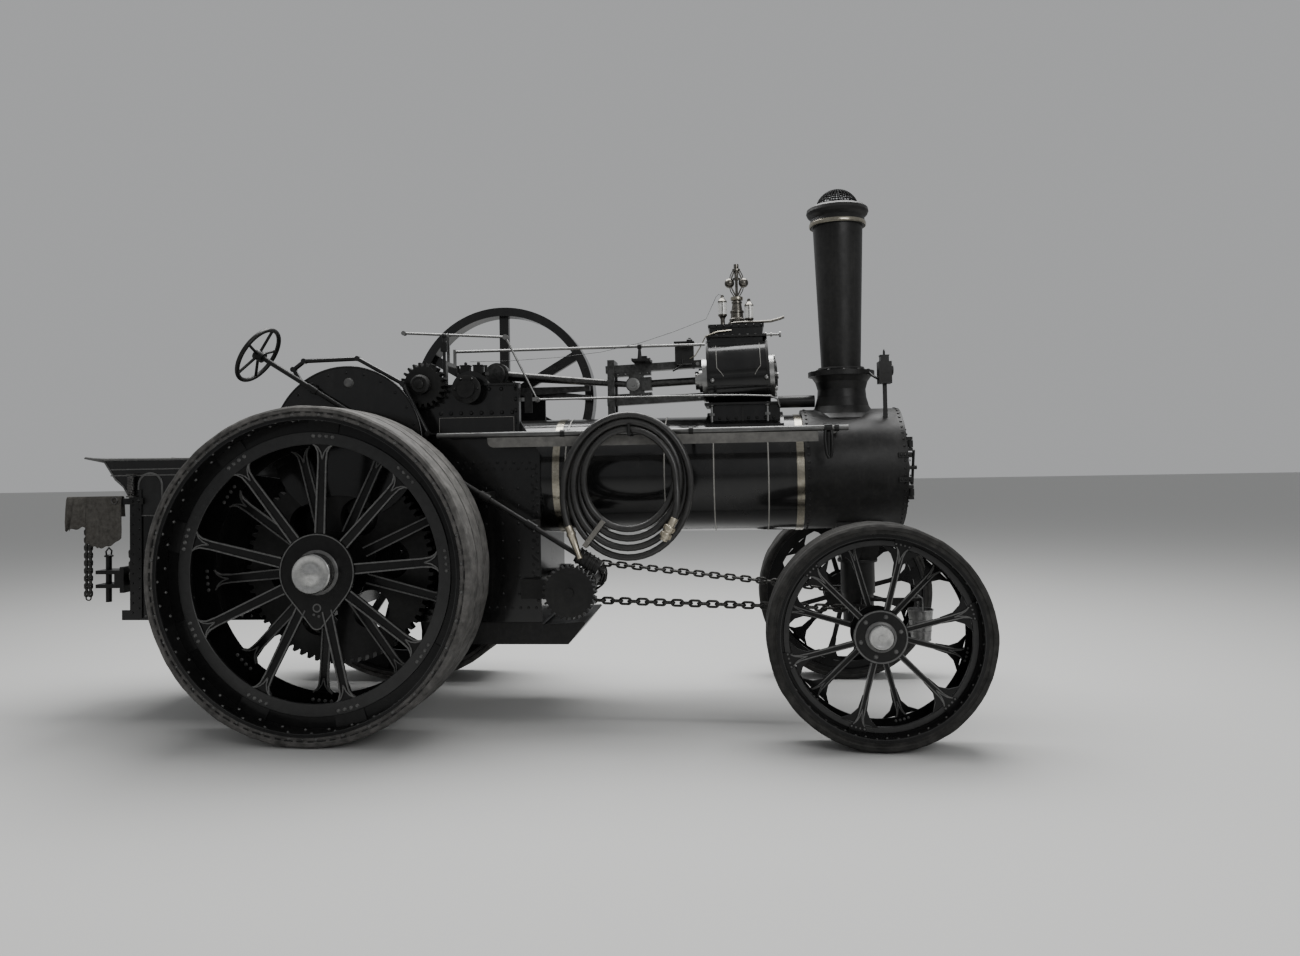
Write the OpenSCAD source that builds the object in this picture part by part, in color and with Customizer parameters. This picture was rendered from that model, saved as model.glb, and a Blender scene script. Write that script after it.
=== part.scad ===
// Steam traction engine, general-purpose road and farm type with one cylinder.
// Lengths are millimetres. +X points forward, +Y to the engine's left and +Z up.
// Pieces are placed from the rear axle's centre line, at X = 0 on the ground,
// and at_frame() then moves them so that the origin is under the engine's middle.

/* [Rear wheels] */
// Outer radius of the rear rubber tyres
rear_r = 1000; // [940:5:1060]
// Width of a rear wheel
rear_w = 426; // [360:2:440]
// Distance from the middle of the engine to a rear wheel's outer face
rear_out = 1023; // [1015:1:1100]
// Thickness of the rear rubber
rear_tyre_t = 68; // [40:1:90]
// Spokes in each of a rear wheel's two rows
rear_spokes = 9; // [7:1:11]
// Radius of the rear axle
rear_axle_r = 55; // [45:1:62]

/* [Front wheels] */
// Outer radius of the front rubber tyres
front_r = 633; // [560:1:680]
// Width of a front wheel
front_w = 270; // [200:2:290]
// Distance from the middle of the engine to a front wheel's outer face
front_out = 990; // [960:1:1050]
// Thickness of the front rubber
front_tyre_t = 60; // [40:1:75]
// Spokes in each of a front wheel's two rows
front_spokes = 6; // [5:1:8]
// Distance between the rear axle and the front axle
wheelbase = 3302; // [3200:5:3500]
// Radius of the front axle's ends
front_axle_r = 38; // [30:1:45]

/* [Boiler] */
// Outer radius of the boiler barrel
boiler_r = 380; // [350:1:400]
// Height of the boiler's centre line
boiler_z = 1543; // [1500:1:1600]
// Where the firebox ends and the barrel starts
barrel_back = 1271; // [1200:5:1300]
// Distance from the front axle back to the joint between barrel and smokebox
smokebox_set = 352; // [320:2:380]
// Back of the firebox
firebox_back = 430; // [400:5:480]
// Bottom of the firebox
firebox_z = 620; // [580:5:660]
// Bottom of the ashpan
ashpan_z = 474; // [440:2:520]
// Thickness of a hornplate
horn_t = 14; // [8:1:20]

/* [Smokebox and chimney] */
// Outer radius of the smokebox
smoke_r = 392; // [385:1:420]
// Height of the smokebox's centre line
smoke_z = 1560; // [1540:1:1590]
// Thickness of the smokebox plate
smoke_t = 12; // [8:1:18]
// Length of the smokebox
smoke_len = 630; // [560:5:680]
// Radius of the smokebox door
door_r = 318; // [290:1:335]
// Distance from the front axle back to the chimney's centre line
chimney_set = 76; // [60:1:90]
// Height of the joint between the chimney and its base
chimney_joint_z = 2200; // [2170:1:2260]
// Height of the chimney's rolled lip
lip_top_z = 3298; // [3200:2:3350]
// Outer radius of the chimney at its foot
chimney_foot_r = 128; // [115:1:140]
// Outer radius of the chimney below its lip
chimney_top_r = 163; // [145:1:172]
// Outer radius of the rolled lip
lip_r = 204; // [185:1:220]
// Radius of the spark arrestor's dome
spark_r = 144; // [125:1:150]

/* [Motion] */
// Where the crankshaft lies, ahead of the rear axle
crank_x = 823; // [800:1:850]
// Height of the crankshaft
crank_z = 2111; // [2090:1:2130]
// Throw of the crank, half the piston's stroke
crank_throw = 152; // [130:1:155]
// Angle at which the crank stands
crank_angle = 58; // [40:1:70]
// Radius of the crankshaft's journals
crank_r = 50; // [40:1:55]
// Slope of the cylinder's axis, down towards the crankshaft
engine_tilt = 2.2; // [1:0.1:3]
// Outer radius of the flywheel
fly_r = 673; // [640:1:690]
// Width of the flywheel's rim
fly_w = 146; // [120:2:150]
// Distance from the middle of the engine to the flywheel's middle
fly_y = 510; // [505:1:514]
// Depth of the flywheel's rim
fly_rim = 62; // [45:1:80]

/* [Cylinder] */
// Distance from the smokebox joint back to the cylinder block's rear face
cylinder_set = 604; // [580:2:640]
// Length of the cylinder block
cyl_len = 404; // [380:2:440]
// Radius of the lagging round the cylinder
cyl_r = 190; // [170:1:200]
// Half width of the cylinder block
cyl_half = 245; // [225:1:260]
// Radius of the end covers
cover_r = 148; // [130:1:160]
// Half the gap between the slide bars
slide_gap = 86; // [70:1:95]

/* [Gearing] */
// Where the second shaft lies, ahead of the rear axle
second_x = 532; // [520:1:545]
// Height of the second shaft
second_z = 2146; // [2130:1:2160]
// Where the third shaft lies, ahead of the rear axle
third_x = 61; // [50:1:75]
// Height of the third shaft
third_z = 1775; // [1765:1:1790]
// Outer radius of the gear on the rear axle
final_r = 615; // [590:1:620]
// Outer radius of the large gear on the third shaft
third_r = 445; // [420:1:450]
// Radius of the arched gear guard
guard_r = 490; // [480:1:520]

/* [Steering] */
// Furthest that the front axle turns each way, in degrees
steer_max = 20; // [10:1:22]
// Where the chain barrel lies, ahead of the rear axle
barrel_x = 1487; // [1460:1:1510]
// Height of the chain barrel
barrel_z = 837; // [810:1:850]
// Radius of the chain barrel
barrel_r = 72; // [60:1:80]
// Outer radius of the worm wheel
worm_wheel_r = 168; // [150:1:180]
// Radius of the hand steering wheel
hand_wheel_r = 198; // [170:1:215]
// Distance from the middle of the engine to the steering column
column_y = 573; // [572:1:575]
// Slope of the steering column, in degrees
column_slope = 32.2; // [30:0.1:34]

/* [Tender] */
// Back of the water tank
tank_back = -1460; // [-1500:5:-1400]
// Front of the tender
tank_front = -140; // [-160:5:-120]
// Half width of the tender
tank_half = 462; // [430:1:465]
// Bottom of the tender
tank_z = 650; // [620:5:700]
// Height of the footplate and of the tank's top above the rear axle
foot_up = 110; // [90:5:140]
// Top of the bunker
bunker_z = 1700; // [1650:5:1750]
// Thickness of the tender's plates
plate_t = 8; // [5:1:12]

/* [Hidden] */
$fn = 64;

run = 0.05;       // running clearance at a journal, on the radius
seat = 0.3;       // gap where curved faces of one body meet
clear = 5;        // gap between pieces that move past each other
hitch_back = 2000;
mid_x = (wheelbase + front_r - hitch_back) / 2;
barrel_front = wheelbase - smokebox_set;
chimney_x = wheelbase - chimney_set;
cyl_back = barrel_front - cylinder_set;
rod_len = cyl_back - crank_x - 583;
foot_z = rear_r + foot_up;

rear_mid = rear_out - rear_w / 2;
rear_in = rear_out - rear_w;
rim_r = rear_r - rear_tyre_t;
front_mid = front_out - front_w / 2;
front_in = front_out - front_w;
front_rim_r = front_r - front_tyre_t;
smoke_back = barrel_front;
smoke_front = barrel_front + smoke_len;
horn_in = boiler_r;
horn_out = boiler_r + horn_t;
pin_x = crank_x + crank_throw * cos(crank_angle);
pin_z = crank_z + crank_throw * sin(crank_angle);
rear_hub_r = 150;
rear_hub_high = 40;
rear_cap = [114, 83];
front_hub_high = 90;
front_cap = [64, 38];

// Moves a piece from the rear axle's frame to the part's own frame
module at_frame() translate([-mid_x, 0, 0]) children();

// Turns +Z to +X, +Y or -Y and sets the start point
module along_x(x, y, z) translate([x, y, z]) rotate([0, 90, 0]) children();
module along_y(x, y, z) translate([x, y, z]) rotate([-90, 0, 0]) children();
module along_right(x, y, z) translate([x, y, z]) rotate([90, 0, 0]) children();

// A plate whose outline is drawn in X and Z, of thickness t and centred on y
module side_plate(y, t) translate([0, y, 0]) rotate([90, 0, 0]) linear_extrude(t, center = true) children();

// A bar whose section is drawn in Y and Z, from x0 to x1
module cross_bar(x0, x1) translate([x0, 0, 0]) rotate([90, 0, 90]) linear_extrude(x1 - x0) children();

// A round rod between two points
module rod(a, b, r) {
    d = b - a;
    len = norm(d);
    translate(a) rotate([0, acos(d[2] / len), atan2(d[1], d[0])]) cylinder(r = r, h = len);
}

// A tube along Z
module ring(r_out, r_in, h) difference() {
    cylinder(r = r_out, h = h);
    translate([0, 0, -1]) cylinder(r = r_in, h = h + 2);
}

// Pieces along the cylinder's axis: local x starts at the crankshaft
module motion_frame() translate([crank_x, 0, crank_z]) rotate([0, -engine_tilt, 0]) children();

// Boiler
module boiler_barrel() color("#1c1e20") at_frame()
    along_x(barrel_back, 0, boiler_z) cylinder(r = boiler_r, h = barrel_front - barrel_back, $fn = 96);

module boiler_bands() color("#c9a24a") at_frame()
    for (x = [barrel_back + 76, barrel_front - 50])
        along_x(x, 0, boiler_z) ring(boiler_r + 4, boiler_r + seat, 46, $fn = 96);

module firebox_outline(half, low) {
    intersection() {
        union() {
            translate([0, boiler_z]) circle(r = boiler_r, $fn = 96);
            translate([-half, low]) square([2 * half, boiler_z - low]);
        }
        translate([-boiler_r, low]) square([2 * boiler_r, 2 * boiler_r + boiler_z - low]);
    }
}

fire_hole_z = 1330;
fire_hole_r = 150;

fire_pin_r = 7;
fire_pin_x = firebox_back - 10;
fire_pin_y = -200;
fire_hinge_zs = [-70, 70];
module firebox() color("#1c1e20") at_frame() {
    difference() {
        cross_bar(firebox_back, barrel_back) firebox_outline(boiler_r - seat, firebox_z);
        along_x(firebox_back - 1, 0, fire_hole_z) cylinder(r = fire_hole_r, h = 91);
    }
    for (z = fire_hinge_zs) {
        translate([fire_pin_x, fire_pin_y, fire_hole_z + z - 30]) cylinder(r = fire_pin_r, h = 60);
        for (e = [-30, 16]) translate([fire_pin_x - 9, fire_pin_y - 11, fire_hole_z + z + e]) cube([19, 22, 14]);
    }
}

module ashpan() color("#2a2a2a") at_frame() side_plate(0, 2 * boiler_r - 40) polygon([
    [firebox_back + 40, firebox_z], [barrel_back - 20, firebox_z], [barrel_back, firebox_z - 20],
    [barrel_back + 265, firebox_z - 4], [barrel_back + 275, firebox_z - 12], [barrel_back + 162, ashpan_z],
    [firebox_back + 90, ashpan_z]]);

hinge_y = -(door_r + 26);
door_gap = 0.5;
door_x = smoke_front + door_gap;
hinge_x = door_x + 18;
hinge_pin_r = 9;
hinge_zs = [-150, 150];

// Hinge pins of the smokebox door, each held by two lugs on the front ring
module door_hinge_pins() for (z = hinge_zs) {
    translate([hinge_x, hinge_y, smoke_z + z - 44]) cylinder(r = hinge_pin_r, h = 88);
    for (e = [-44, 24]) translate([smoke_front, hinge_y - 14, smoke_z + z + e]) cube([32, 28, 20]);
}

// Smokebox, hollow, with a front ring that the door closes
module smokebox() color("#191a1b") at_frame() {
    door_hinge_pins();
    smokebox_shell();
}
module smokebox_shell() difference() {
    along_x(smoke_back, 0, smoke_z) cylinder(r = smoke_r, h = smoke_len, $fn = 96);
    along_x(smoke_back + 20, 0, smoke_z) cylinder(r = smoke_r - smoke_t, h = smoke_len - 34, $fn = 96);
    along_x(smoke_front - 20, 0, smoke_z) cylinder(r = door_r - 22, h = 30, $fn = 96);
    translate([chimney_x, 0, smoke_z]) cylinder(r = chimney_foot_r - 12, h = smoke_r + 20);
}

// Door with its hinge straps, its knuckles and the centre handle
module smokebox_door() color("#1b1c1d") at_frame() {
    along_x(door_x, 0, smoke_z) cylinder(r = door_r, h = 14, $fn = 96);
    along_x(door_x + 14, 0, smoke_z) cylinder(r1 = door_r - 14, r2 = 130, h = 34, $fn = 96);
    along_x(door_x + 48, 0, smoke_z) cylinder(r = 36, h = 22);
    along_x(door_x + 70, 0, smoke_z) cylinder(r = 14, h = 50);
    for (a = [20, 200]) along_x(door_x + 96, 0, smoke_z) rotate([0, 0, a]) rotate([0, 90, 0])
        cylinder(r = 9, h = 120);
    for (z = hinge_zs) difference() {
        union() {
            translate([door_x, hinge_y + 5, smoke_z + z - 22]) cube([14, door_r + 20, 44]);
            translate([hinge_x, hinge_y, smoke_z + z - 22]) cylinder(r = 18, h = 44);
        }
        translate([hinge_x, hinge_y, smoke_z + z - 23]) cylinder(r = hinge_pin_r + run, h = 46);
    }
}

// Chimney
module chimney_base() color("#202122") at_frame() difference() {
    union() {
        translate([chimney_x, 0, chimney_joint_z - 32]) cylinder(r = 216, h = 32);
        translate([chimney_x, 0, smoke_z + 300]) rotate_extrude() polygon([
            [0, 0], [236, 0], [236, 30], [205, 60], [176, 110], [160, 170], [156, 220], [170, 270], [196, 308],
            [0, 308]]);
    }
    along_x(chimney_x - 300, 0, smoke_z) cylinder(r = smoke_r + seat, h = 600, $fn = 96);
    translate([chimney_x, 0, smoke_z]) cylinder(r = chimney_foot_r - 12, h = chimney_joint_z);
}

lip_base_z = lip_top_z - 134;
module chimney_barrel() color("#1d1e1f") at_frame() translate([chimney_x, 0, chimney_joint_z]) difference() {
    union() {
        cylinder(r1 = chimney_foot_r, r2 = chimney_top_r, h = lip_base_z - chimney_joint_z);
        cylinder(r = chimney_foot_r + 22, h = 26);
    }
    translate([0, 0, -1]) cylinder(r1 = chimney_foot_r - 12, r2 = chimney_top_r - 12,
        h = lip_base_z - chimney_joint_z + 2);
}

// Rolled lip and the bright band below it
module chimney_cap() color("#b98a4a") at_frame() translate([chimney_x, 0, lip_base_z]) rotate_extrude() polygon([
    [chimney_top_r - 12, 0], [chimney_top_r + 14, 0], [chimney_top_r + 18, 30], [chimney_top_r + 12, 58],
    [lip_r - 8, 78], [lip_r, 96], [lip_r - 4, 118], [lip_r - 24, 134], [chimney_top_r - 12, 134]]);

module spark_arrestor() color("#77787a") at_frame() translate([chimney_x, 0, lip_top_z]) difference() {
    union() {
        intersection() {
            translate([0, 0, -30]) sphere(r = spark_r + 8, $fn = 64);
            translate([0, 0, 0.2]) cylinder(r = spark_r, h = 200);
        }
        translate([0, 0, 0.2]) cylinder(r = chimney_top_r + 6, h = 6);
    }
    translate([0, 0, -30]) sphere(r = spark_r + 2, $fn = 64);
}

lamp_x = smoke_front - 106;
lamp_y = -215;
module lamp() color("#2b2c2e") at_frame() difference() {
    union() {
        translate([lamp_x - 40, lamp_y - 50, 2098]) cube([80, 100, 140]);
        translate([lamp_x - 26, lamp_y - 34, 2238]) cube([52, 68, 38]);
        translate([lamp_x - 12, lamp_y - 12, smoke_z + 200]) cube([24, 24, 2098 - smoke_z - 200]);
    }
    along_x(lamp_x - 100, 0, smoke_z) cylinder(r = smoke_r + seat, h = 200, $fn = 96);
}

// Cylinder block on its saddle, with the lagging round it
top_z = 2520;
valve_x = cyl_back + cyl_len / 2;
cyl_x0 = cyl_back - crank_x;

// Rounded section of the lagged cylinder, from x on, in the motion's frame
module cylinder_section(x, len, r) translate([x, 0, 0]) rotate([90, 0, 90]) linear_extrude(len) {
    for (s = [-1, 1]) translate([s * (cyl_half - cyl_r), 0]) circle(r = r);
    translate([cyl_r - cyl_half, -r]) square([2 * (cyl_half - cyl_r), 2 * r]);
}
module cylinder_block() color("#1b1c1e") at_frame() difference() {
    union() {
        motion_frame() {
            cylinder_section(cyl_x0, cyl_len, cyl_r);
            for (x = [cyl_x0, cyl_x0 + cyl_len - 16]) cylinder_section(x, 16, cyl_r + 7);
            translate([cyl_x0 + 120, cyl_half - 40, -70]) cube([cyl_len - 170, 60, 190]);
        }
        translate([cyl_back + 20, -150, crank_z + 170]) cube([cyl_len - 60, 300, top_z - crank_z - 170]);
        translate([cyl_back + 10, -162, top_z - 22]) cube([cyl_len - 40, 324, 22]);
        translate([cyl_back + 6, -172, crank_z + 262]) cube([cyl_len - 32, 344, 26]);
        intersection() {
            along_x(cyl_back - 8, 0, boiler_z) cylinder(r = boiler_r + 24, h = cyl_len + 90, $fn = 96);
            translate([cyl_back - 8, -250, boiler_z]) cube([cyl_len + 90, 500, boiler_r + 24]);
        }
        translate([cyl_back + 24, -215, boiler_z + 150]) cube([cyl_len + 36, 430, 300]);
    }
    along_x(cyl_back - 100, 0, boiler_z) cylinder(r = boiler_r + seat, h = cyl_len + 300, $fn = 96);
}

module cylinder_covers() color("#8f9193") at_frame() motion_frame() {
    for (x = [cyl_x0 - 34, cyl_x0 + cyl_len + 0.2]) along_x(x, 0, 0) ring(cover_r, 30, 33.8);
    along_x(cyl_x0 - 58, 0, 0) ring(slide_gap - 6, 30, 25);
    along_x(cyl_x0 + cyl_len + 34, 0, 0) cylinder(r1 = 118, r2 = 96, h = 22);
    along_x(cyl_x0 + cyl_len + 56, 0, 0) cylinder(r = 22, h = 10);
    along_x(cyl_x0 - 84, 0, 0) ring(62, 30, 50);
    for (a = [0 : 45 : 315]) along_x(cyl_x0 + cyl_len + 34, 0, 0) rotate([0, 0, a])
        translate([cover_r - 22, 0, 0]) cylinder(r = 14, h = 16, $fn = 6);
}

module safety_valves() color("#a8832f") at_frame() translate([valve_x, 0, top_z]) {
    cylinder(r = 62, h = 30);
    translate([0, 0, 29]) cylinder(r1 = 40, r2 = 26, h = 151);
    translate([0, 0, 179]) cylinder(r = 34, h = 24);
    translate([0, 0, 202]) cylinder(r = 9, h = 200);
    translate([0, 0, 400]) cylinder(r = 17, h = 24);
    for (turn = [0, 180]) rotate([0, 0, turn]) {
        translate([47, 0, 298]) sphere(r = 33);
        translate([0, 0, 410]) rotate([0, 157, 0]) cylinder(r = 5, h = 110);
        translate([0, 0, 196]) rotate([0, 25, 0]) cylinder(r = 5, h = 90);
    }
}

module lubricators() color("#c9a24a") at_frame() for (p = [[-95, 30], [80, 0]])
    translate([valve_x + p[0], -90, top_z]) {
    cylinder(r = 12, h = 40 + p[1]);
    translate([0, 0, 40 + p[1]]) cylinder(r = 28, h = 90);
    translate([0, 0, 130 + p[1]]) cylinder(r1 = 28, r2 = 8, h = 24);
    translate([0, 0, 154 + p[1]]) sphere(r = 12);
}

exhaust_z = 2018;
module exhaust_pipe() color("#2a2b2d") at_frame() {
    along_x(cyl_back + cyl_len + 60.3, 0, exhaust_z - 8)
        cylinder(r = 40, h = chimney_x - 178 - cyl_back - cyl_len - 60.3);
}

// Slide bars with the brackets that carry their back end
bar_x0 = cyl_back - 686 - crank_x;
bar_x1 = cyl_x0 - 34;
module slide_bars() color("#b9bbbd") at_frame() {
    motion_frame() for (s = [-1, 1]) translate([bar_x0, -40, s > 0 ? slide_gap : -slide_gap - 50])
        cube([bar_x1 - bar_x0 - 0.3, 80, 50]);
    translate([cyl_back - 671, -95, boiler_z + 300]) difference() {
        translate([0, 0, 0]) cube([46, 190, 470]);
        translate([-1, 40, 60]) cube([48, 110, 340]);
        along_x(-20, 95, -300) cylinder(r = boiler_r + seat, h = 100, $fn = 96);
    }
}

// Crosshead with its slippers and the piston rod
cross_x = crank_throw * cos(crank_angle) + rod_len;
module crosshead() color("#c4c6c8") at_frame() motion_frame() {
    translate([cross_x - 120, -36, -slide_gap + seat]) cube([240, 72, 26]);
    translate([cross_x - 120, -36, slide_gap - seat - 26]) cube([240, 72, 26]);
    difference() {
        union() {
            translate([cross_x - 30, -36, -slide_gap + 20]) cube([96, 72, 2 * slide_gap - 40]);
            along_right(cross_x, 44, 0) cylinder(r = 52, h = 88);
            translate([cross_x, -40, -44]) cube([122, 80, 88]);
        }
        translate([cross_x - 90, -24, -60]) cube([156, 48, 120]);
    }
    along_x(cross_x + 120, 0, 0) cylinder(r = 26, h = cyl_x0 - seat - cross_x - 120);
}

// Connecting rod: forked and strapped ends on a tapered shank
module connecting_rod() color("#b4b6b8") at_frame() {
    a = [pin_x, 0, pin_z];
    b = [crank_x + cross_x * cos(engine_tilt), 0, crank_z + cross_x * sin(engine_tilt)];
    difference() {
        union() {
            translate(a) rotate([90, 0, 0]) cylinder(r = 82, h = 84, center = true);
            translate(b) rotate([90, 0, 0]) cylinder(r = 44, h = 40, center = true);
            translate(a) rotate([0, 90 - asin((b[2] - a[2]) / norm(b - a)), 0])
                cylinder(r1 = 34, r2 = 20, h = norm(b - a));
        }
        translate(a) rotate([90, 0, 0]) cylinder(r = 48 + seat, h = 90, center = true);
    }
}

// Crankshaft with two webs and a pair of eccentric sheaves
module crankshaft() color("#9fa1a3") at_frame() {
    for (s = [-1, 1]) {
        along_y(crank_x, s > 0 ? 50 : -468, crank_z) cylinder(r = crank_r, h = s > 0 ? 552 : 418);
        side_plate(s * 76, 52) hull() {
            translate([crank_x, crank_z]) circle(r = 74);
            translate([pin_x, pin_z]) circle(r = 66);
        }
    }
    along_y(pin_x, -50.5, pin_z) cylinder(r = 48, h = 101);
    for (y = [170, 235]) along_y(crank_x + 28, y, crank_z + 20) cylinder(r = 106, h = 40);
}

// Straps and rods of the valve gear
module valve_gear() color("#a9abad") at_frame() {
    for (y = [170, 235]) difference() {
        union() {
            along_y(crank_x + 28, y + 2, crank_z + 20) cylinder(r = 136, h = 36);
            hull() {
                translate([crank_x + 150, y + 6, crank_z - 6]) cube([10, 28, 60]);
                translate([1500, y + 6, crank_z + (y < 200 ? 20 : -40)]) cube([10, 28, 34]);
            }
        }
        along_y(crank_x + 28, y - 1, crank_z + 20) cylinder(r = 106 + seat, h = 50);
    }
}

// Bearings that carry the crankshaft on the hornplates
module crank_bearings() color("#3a3b3d") at_frame() for (s = [-1, 1]) difference() {
    union() {
        side_plate(s * (horn_in - 42), 83.6) polygon([[crank_x - 110, crank_z - 130], [crank_x + 110, crank_z - 130],
            [crank_x + 110, crank_z + 40], [crank_x + 70, crank_z + 96], [crank_x - 70, crank_z + 96],
            [crank_x - 110, crank_z + 40]]);
    }
    along_y(crank_x, s * (horn_in - 42) - 50, crank_z) cylinder(r = crank_r + seat, h = 100);
}

// Flywheel with six straight arms
module flywheel() color("#222426") at_frame() along_y(crank_x, fly_y, crank_z) difference() {
    union() {
        translate([0, 0, -fly_w / 2]) ring(fly_r, fly_r - fly_rim, fly_w, $fn = 128);
        translate([0, 0, -70]) cylinder(r = 105, h = 140);
        for (a = [30 : 60 : 330]) rotate([0, 0, a]) translate([80, -34, -22]) cube([fly_r - fly_rim - 70, 68, 44]);
    }
    cylinder(r = crank_r + run, h = 400, center = true);
}

// Side plates that carry the shafts
module horn_outline() {
    polygon([[tank_front, 860], [tank_front, 1640], [-60, 1900], [330, 2060], [440, 2150], [1151, 2150], [1151, 1900],
        [barrel_back, 1700], [barrel_back, firebox_z + 60], [firebox_back, firebox_z + 60],
        [firebox_back - 60, 860]]);
}

// Hornplate on side s, with a hole for each shaft
module hornplate(s) difference() {
    union() {
        side_plate(s * (horn_in + horn_t / 2), horn_t) horn_outline();
        along_y(crank_x, s * (horn_in + horn_t / 2) - horn_t / 2, crank_z) cylinder(r = 125, h = horn_t);
        along_y(second_x, s * (horn_in + horn_t / 2) - horn_t / 2, second_z) cylinder(r = 100, h = horn_t);
    }
    for (p = [[crank_x, crank_z, crank_r], [second_x, second_z, second_r], [third_x, third_z, third_shaft_r],
        [0, rear_r, rear_axle_r]]) along_y(p[0], s * horn_in - 50, p[1]) cylinder(r = p[2] + seat, h = 100);
}
module hornplate_right() color("#1e2022") at_frame() hornplate(-1);
module hornplate_left() color("#1e2022") at_frame() hornplate(1);

// A spur gear with straight teeth, along +Z from z = 0
module gear(r_out, teeth, depth, w) {
    pitch = 360 * (r_out - depth / 2) * PI / 180 / teeth;
    linear_extrude(w) {
        circle(r = r_out - depth);
        for (i = [0 : teeth - 1]) rotate(i * 360 / teeth) polygon([[r_out - depth - 4, -0.31 * pitch],
            [r_out, -0.16 * pitch], [r_out, 0.16 * pitch], [r_out - depth - 4, 0.31 * pitch]]);
    }
}

second_r = 40;
third_shaft_r = 50;
guard_y = rear_in - 46;           // outer face of the gear guard
guard_t = 6;
final_y = guard_y - guard_t - 8;  // outer face of the gear on the axle
final_w = 58;
third_y = final_y - final_w - 8;  // outer face of the large gear on the third shaft
third_w = third_y - horn_out - 8;
module second_shaft() color("#8d8f91") at_frame() {
    along_y(second_x, -third_y - 12, second_z) cylinder(r = second_r, h = third_y + horn_out + 32);
    along_right(second_x, -horn_out - 6, second_z) gear(146, 22, 26, third_w);
}

module third_shaft() color("#85878a") at_frame() {
    along_y(third_x, -final_y, third_z) cylinder(r = third_shaft_r, h = final_y + horn_out + 20);
    along_right(third_x, -horn_out - 6, third_z) gear(third_r, 66, 26, third_w);
    along_right(third_x, -final_y + final_w, third_z) gear(150, 18, 28, final_w);
}

module final_gear() color("#6f7173") at_frame() along_right(0, -final_y + final_w, rear_r) difference() {
    union() {
        gear(final_r, 72, 30, final_w);
        translate([0, 0, -final_y + final_w + horn_out + 6]) cylinder(r = 120, h = final_y - horn_out - 2);
    }
    translate([0, 0, -200]) cylinder(r = rear_axle_r + seat, h = 400);
    for (a = [0 : 60 : 300]) rotate([0, 0, a + 7]) translate([340, 0, -5]) cylinder(r = 122, h = 100);
}

axle_half = rear_mid + rear_hub_high + rear_cap[1] - 20;
module rear_axle() color("#85878a") at_frame() along_y(0, -axle_half, rear_r)
    cylinder(r = rear_axle_r, h = 2 * axle_half);

// Arched guard over the gears, with its boss
module gear_guard() color("#1b1d1f") at_frame() side_plate(-guard_y + guard_t / 2, guard_t) difference() {
    union() {
        translate([third_x, third_z]) circle(r = guard_r, $fn = 96);
        translate([third_x - guard_r, 1640]) square([2 * guard_r, third_z - 1640]);
    }
    translate([0, rear_r]) circle(r = 450);
}

// Hand rail over the guard, fastened behind the guard's plate and on the hornplate
rail_bar_r = 14;
module handrail() color("#b9bbbd") at_frame() {
    y = -guard_y + guard_t + rail_bar_r + 3.2;
    p = [[-222, y, 2140], [-297, y, 2262], [-225, y, 2314], [130, y, 2320], [423, y, 2154], [585, y, 1830]];
    for (i = [0 : len(p) - 2]) rod(p[i], p[i + 1], rail_bar_r);
    for (i = [1 : len(p) - 1]) along_y(p[i][0], y - rail_bar_r - 3, p[i][2])
        cylinder(r = rail_bar_r + 3, h = 2 * rail_bar_r + 6);
    along_y(585, y, 1830) cylinder(r = 10, h = -y - horn_out - 0.2);
    along_y(585, -horn_out - 12.2, 1830) cylinder(r = 26, h = 12);
}

// Water tank with an open bunker above it; the side sheets step in beside the gears
step_x = third_x - third_r - 20;
module tender() color("#1d1f21") at_frame() {
    translate([tank_back, -tank_half, tank_z]) cube([tank_front - tank_back, 2 * tank_half, foot_z - tank_z]);
    translate([tank_back - ledge_w, -tank_half, tank_z]) cube([ledge_w, 2 * tank_half, 14]);
    for (y = [-tank_half, -150, 142, tank_half - 8]) translate([tank_back - ledge_w, y, tank_z])
        cube([ledge_w, 8, ledge_h]);
    difference() {
        side_plate(0, 2 * tank_half) polygon([[tank_back, foot_z], [tank_back, 1450], [-1507, 1526], [-1563, 1573],
            [-1640, 1690], [-1781, 1722], [-1640, bunker_z + 6], [-800, bunker_z], [-800, foot_z]]);
        side_plate(0, 2 * tank_half - 2 * plate_t) polygon([[tank_back + plate_t, foot_z + 40],
            [tank_back + plate_t, 1454], [-1500, 1531], [-1556, 1578], [-1630, 1720], [-800 - plate_t, 1730],
            [-800 - plate_t, foot_z + 40]]);
    }
    for (s = [-1, 1]) {
        side_plate(s * (tank_half - plate_t / 2), plate_t)
            polygon([[-800, foot_z], [-800, bunker_z], [-700, 1600], [step_x, 1560], [step_x, foot_z]]);
        side_plate(s * (horn_out - plate_t / 2), plate_t)
            polygon([[step_x - plate_t, foot_z], [step_x - plate_t, 1560], [tank_front, 1560], [tank_front, foot_z]]);
        translate([step_x - plate_t, s > 0 ? horn_out - plate_t : -tank_half, foot_z])
            cube([plate_t, tank_half - horn_out + plate_t, 450]);
    }
}

ledge_w = 62;
ledge_h = 65;
module footplate() color("#5a5b5c") at_frame() translate([tank_front + 0.2, -horn_in + 2, foot_z - 12])
    cube([firebox_back - tank_front - 0.4, 2 * horn_in - 4, 12]);

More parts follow.
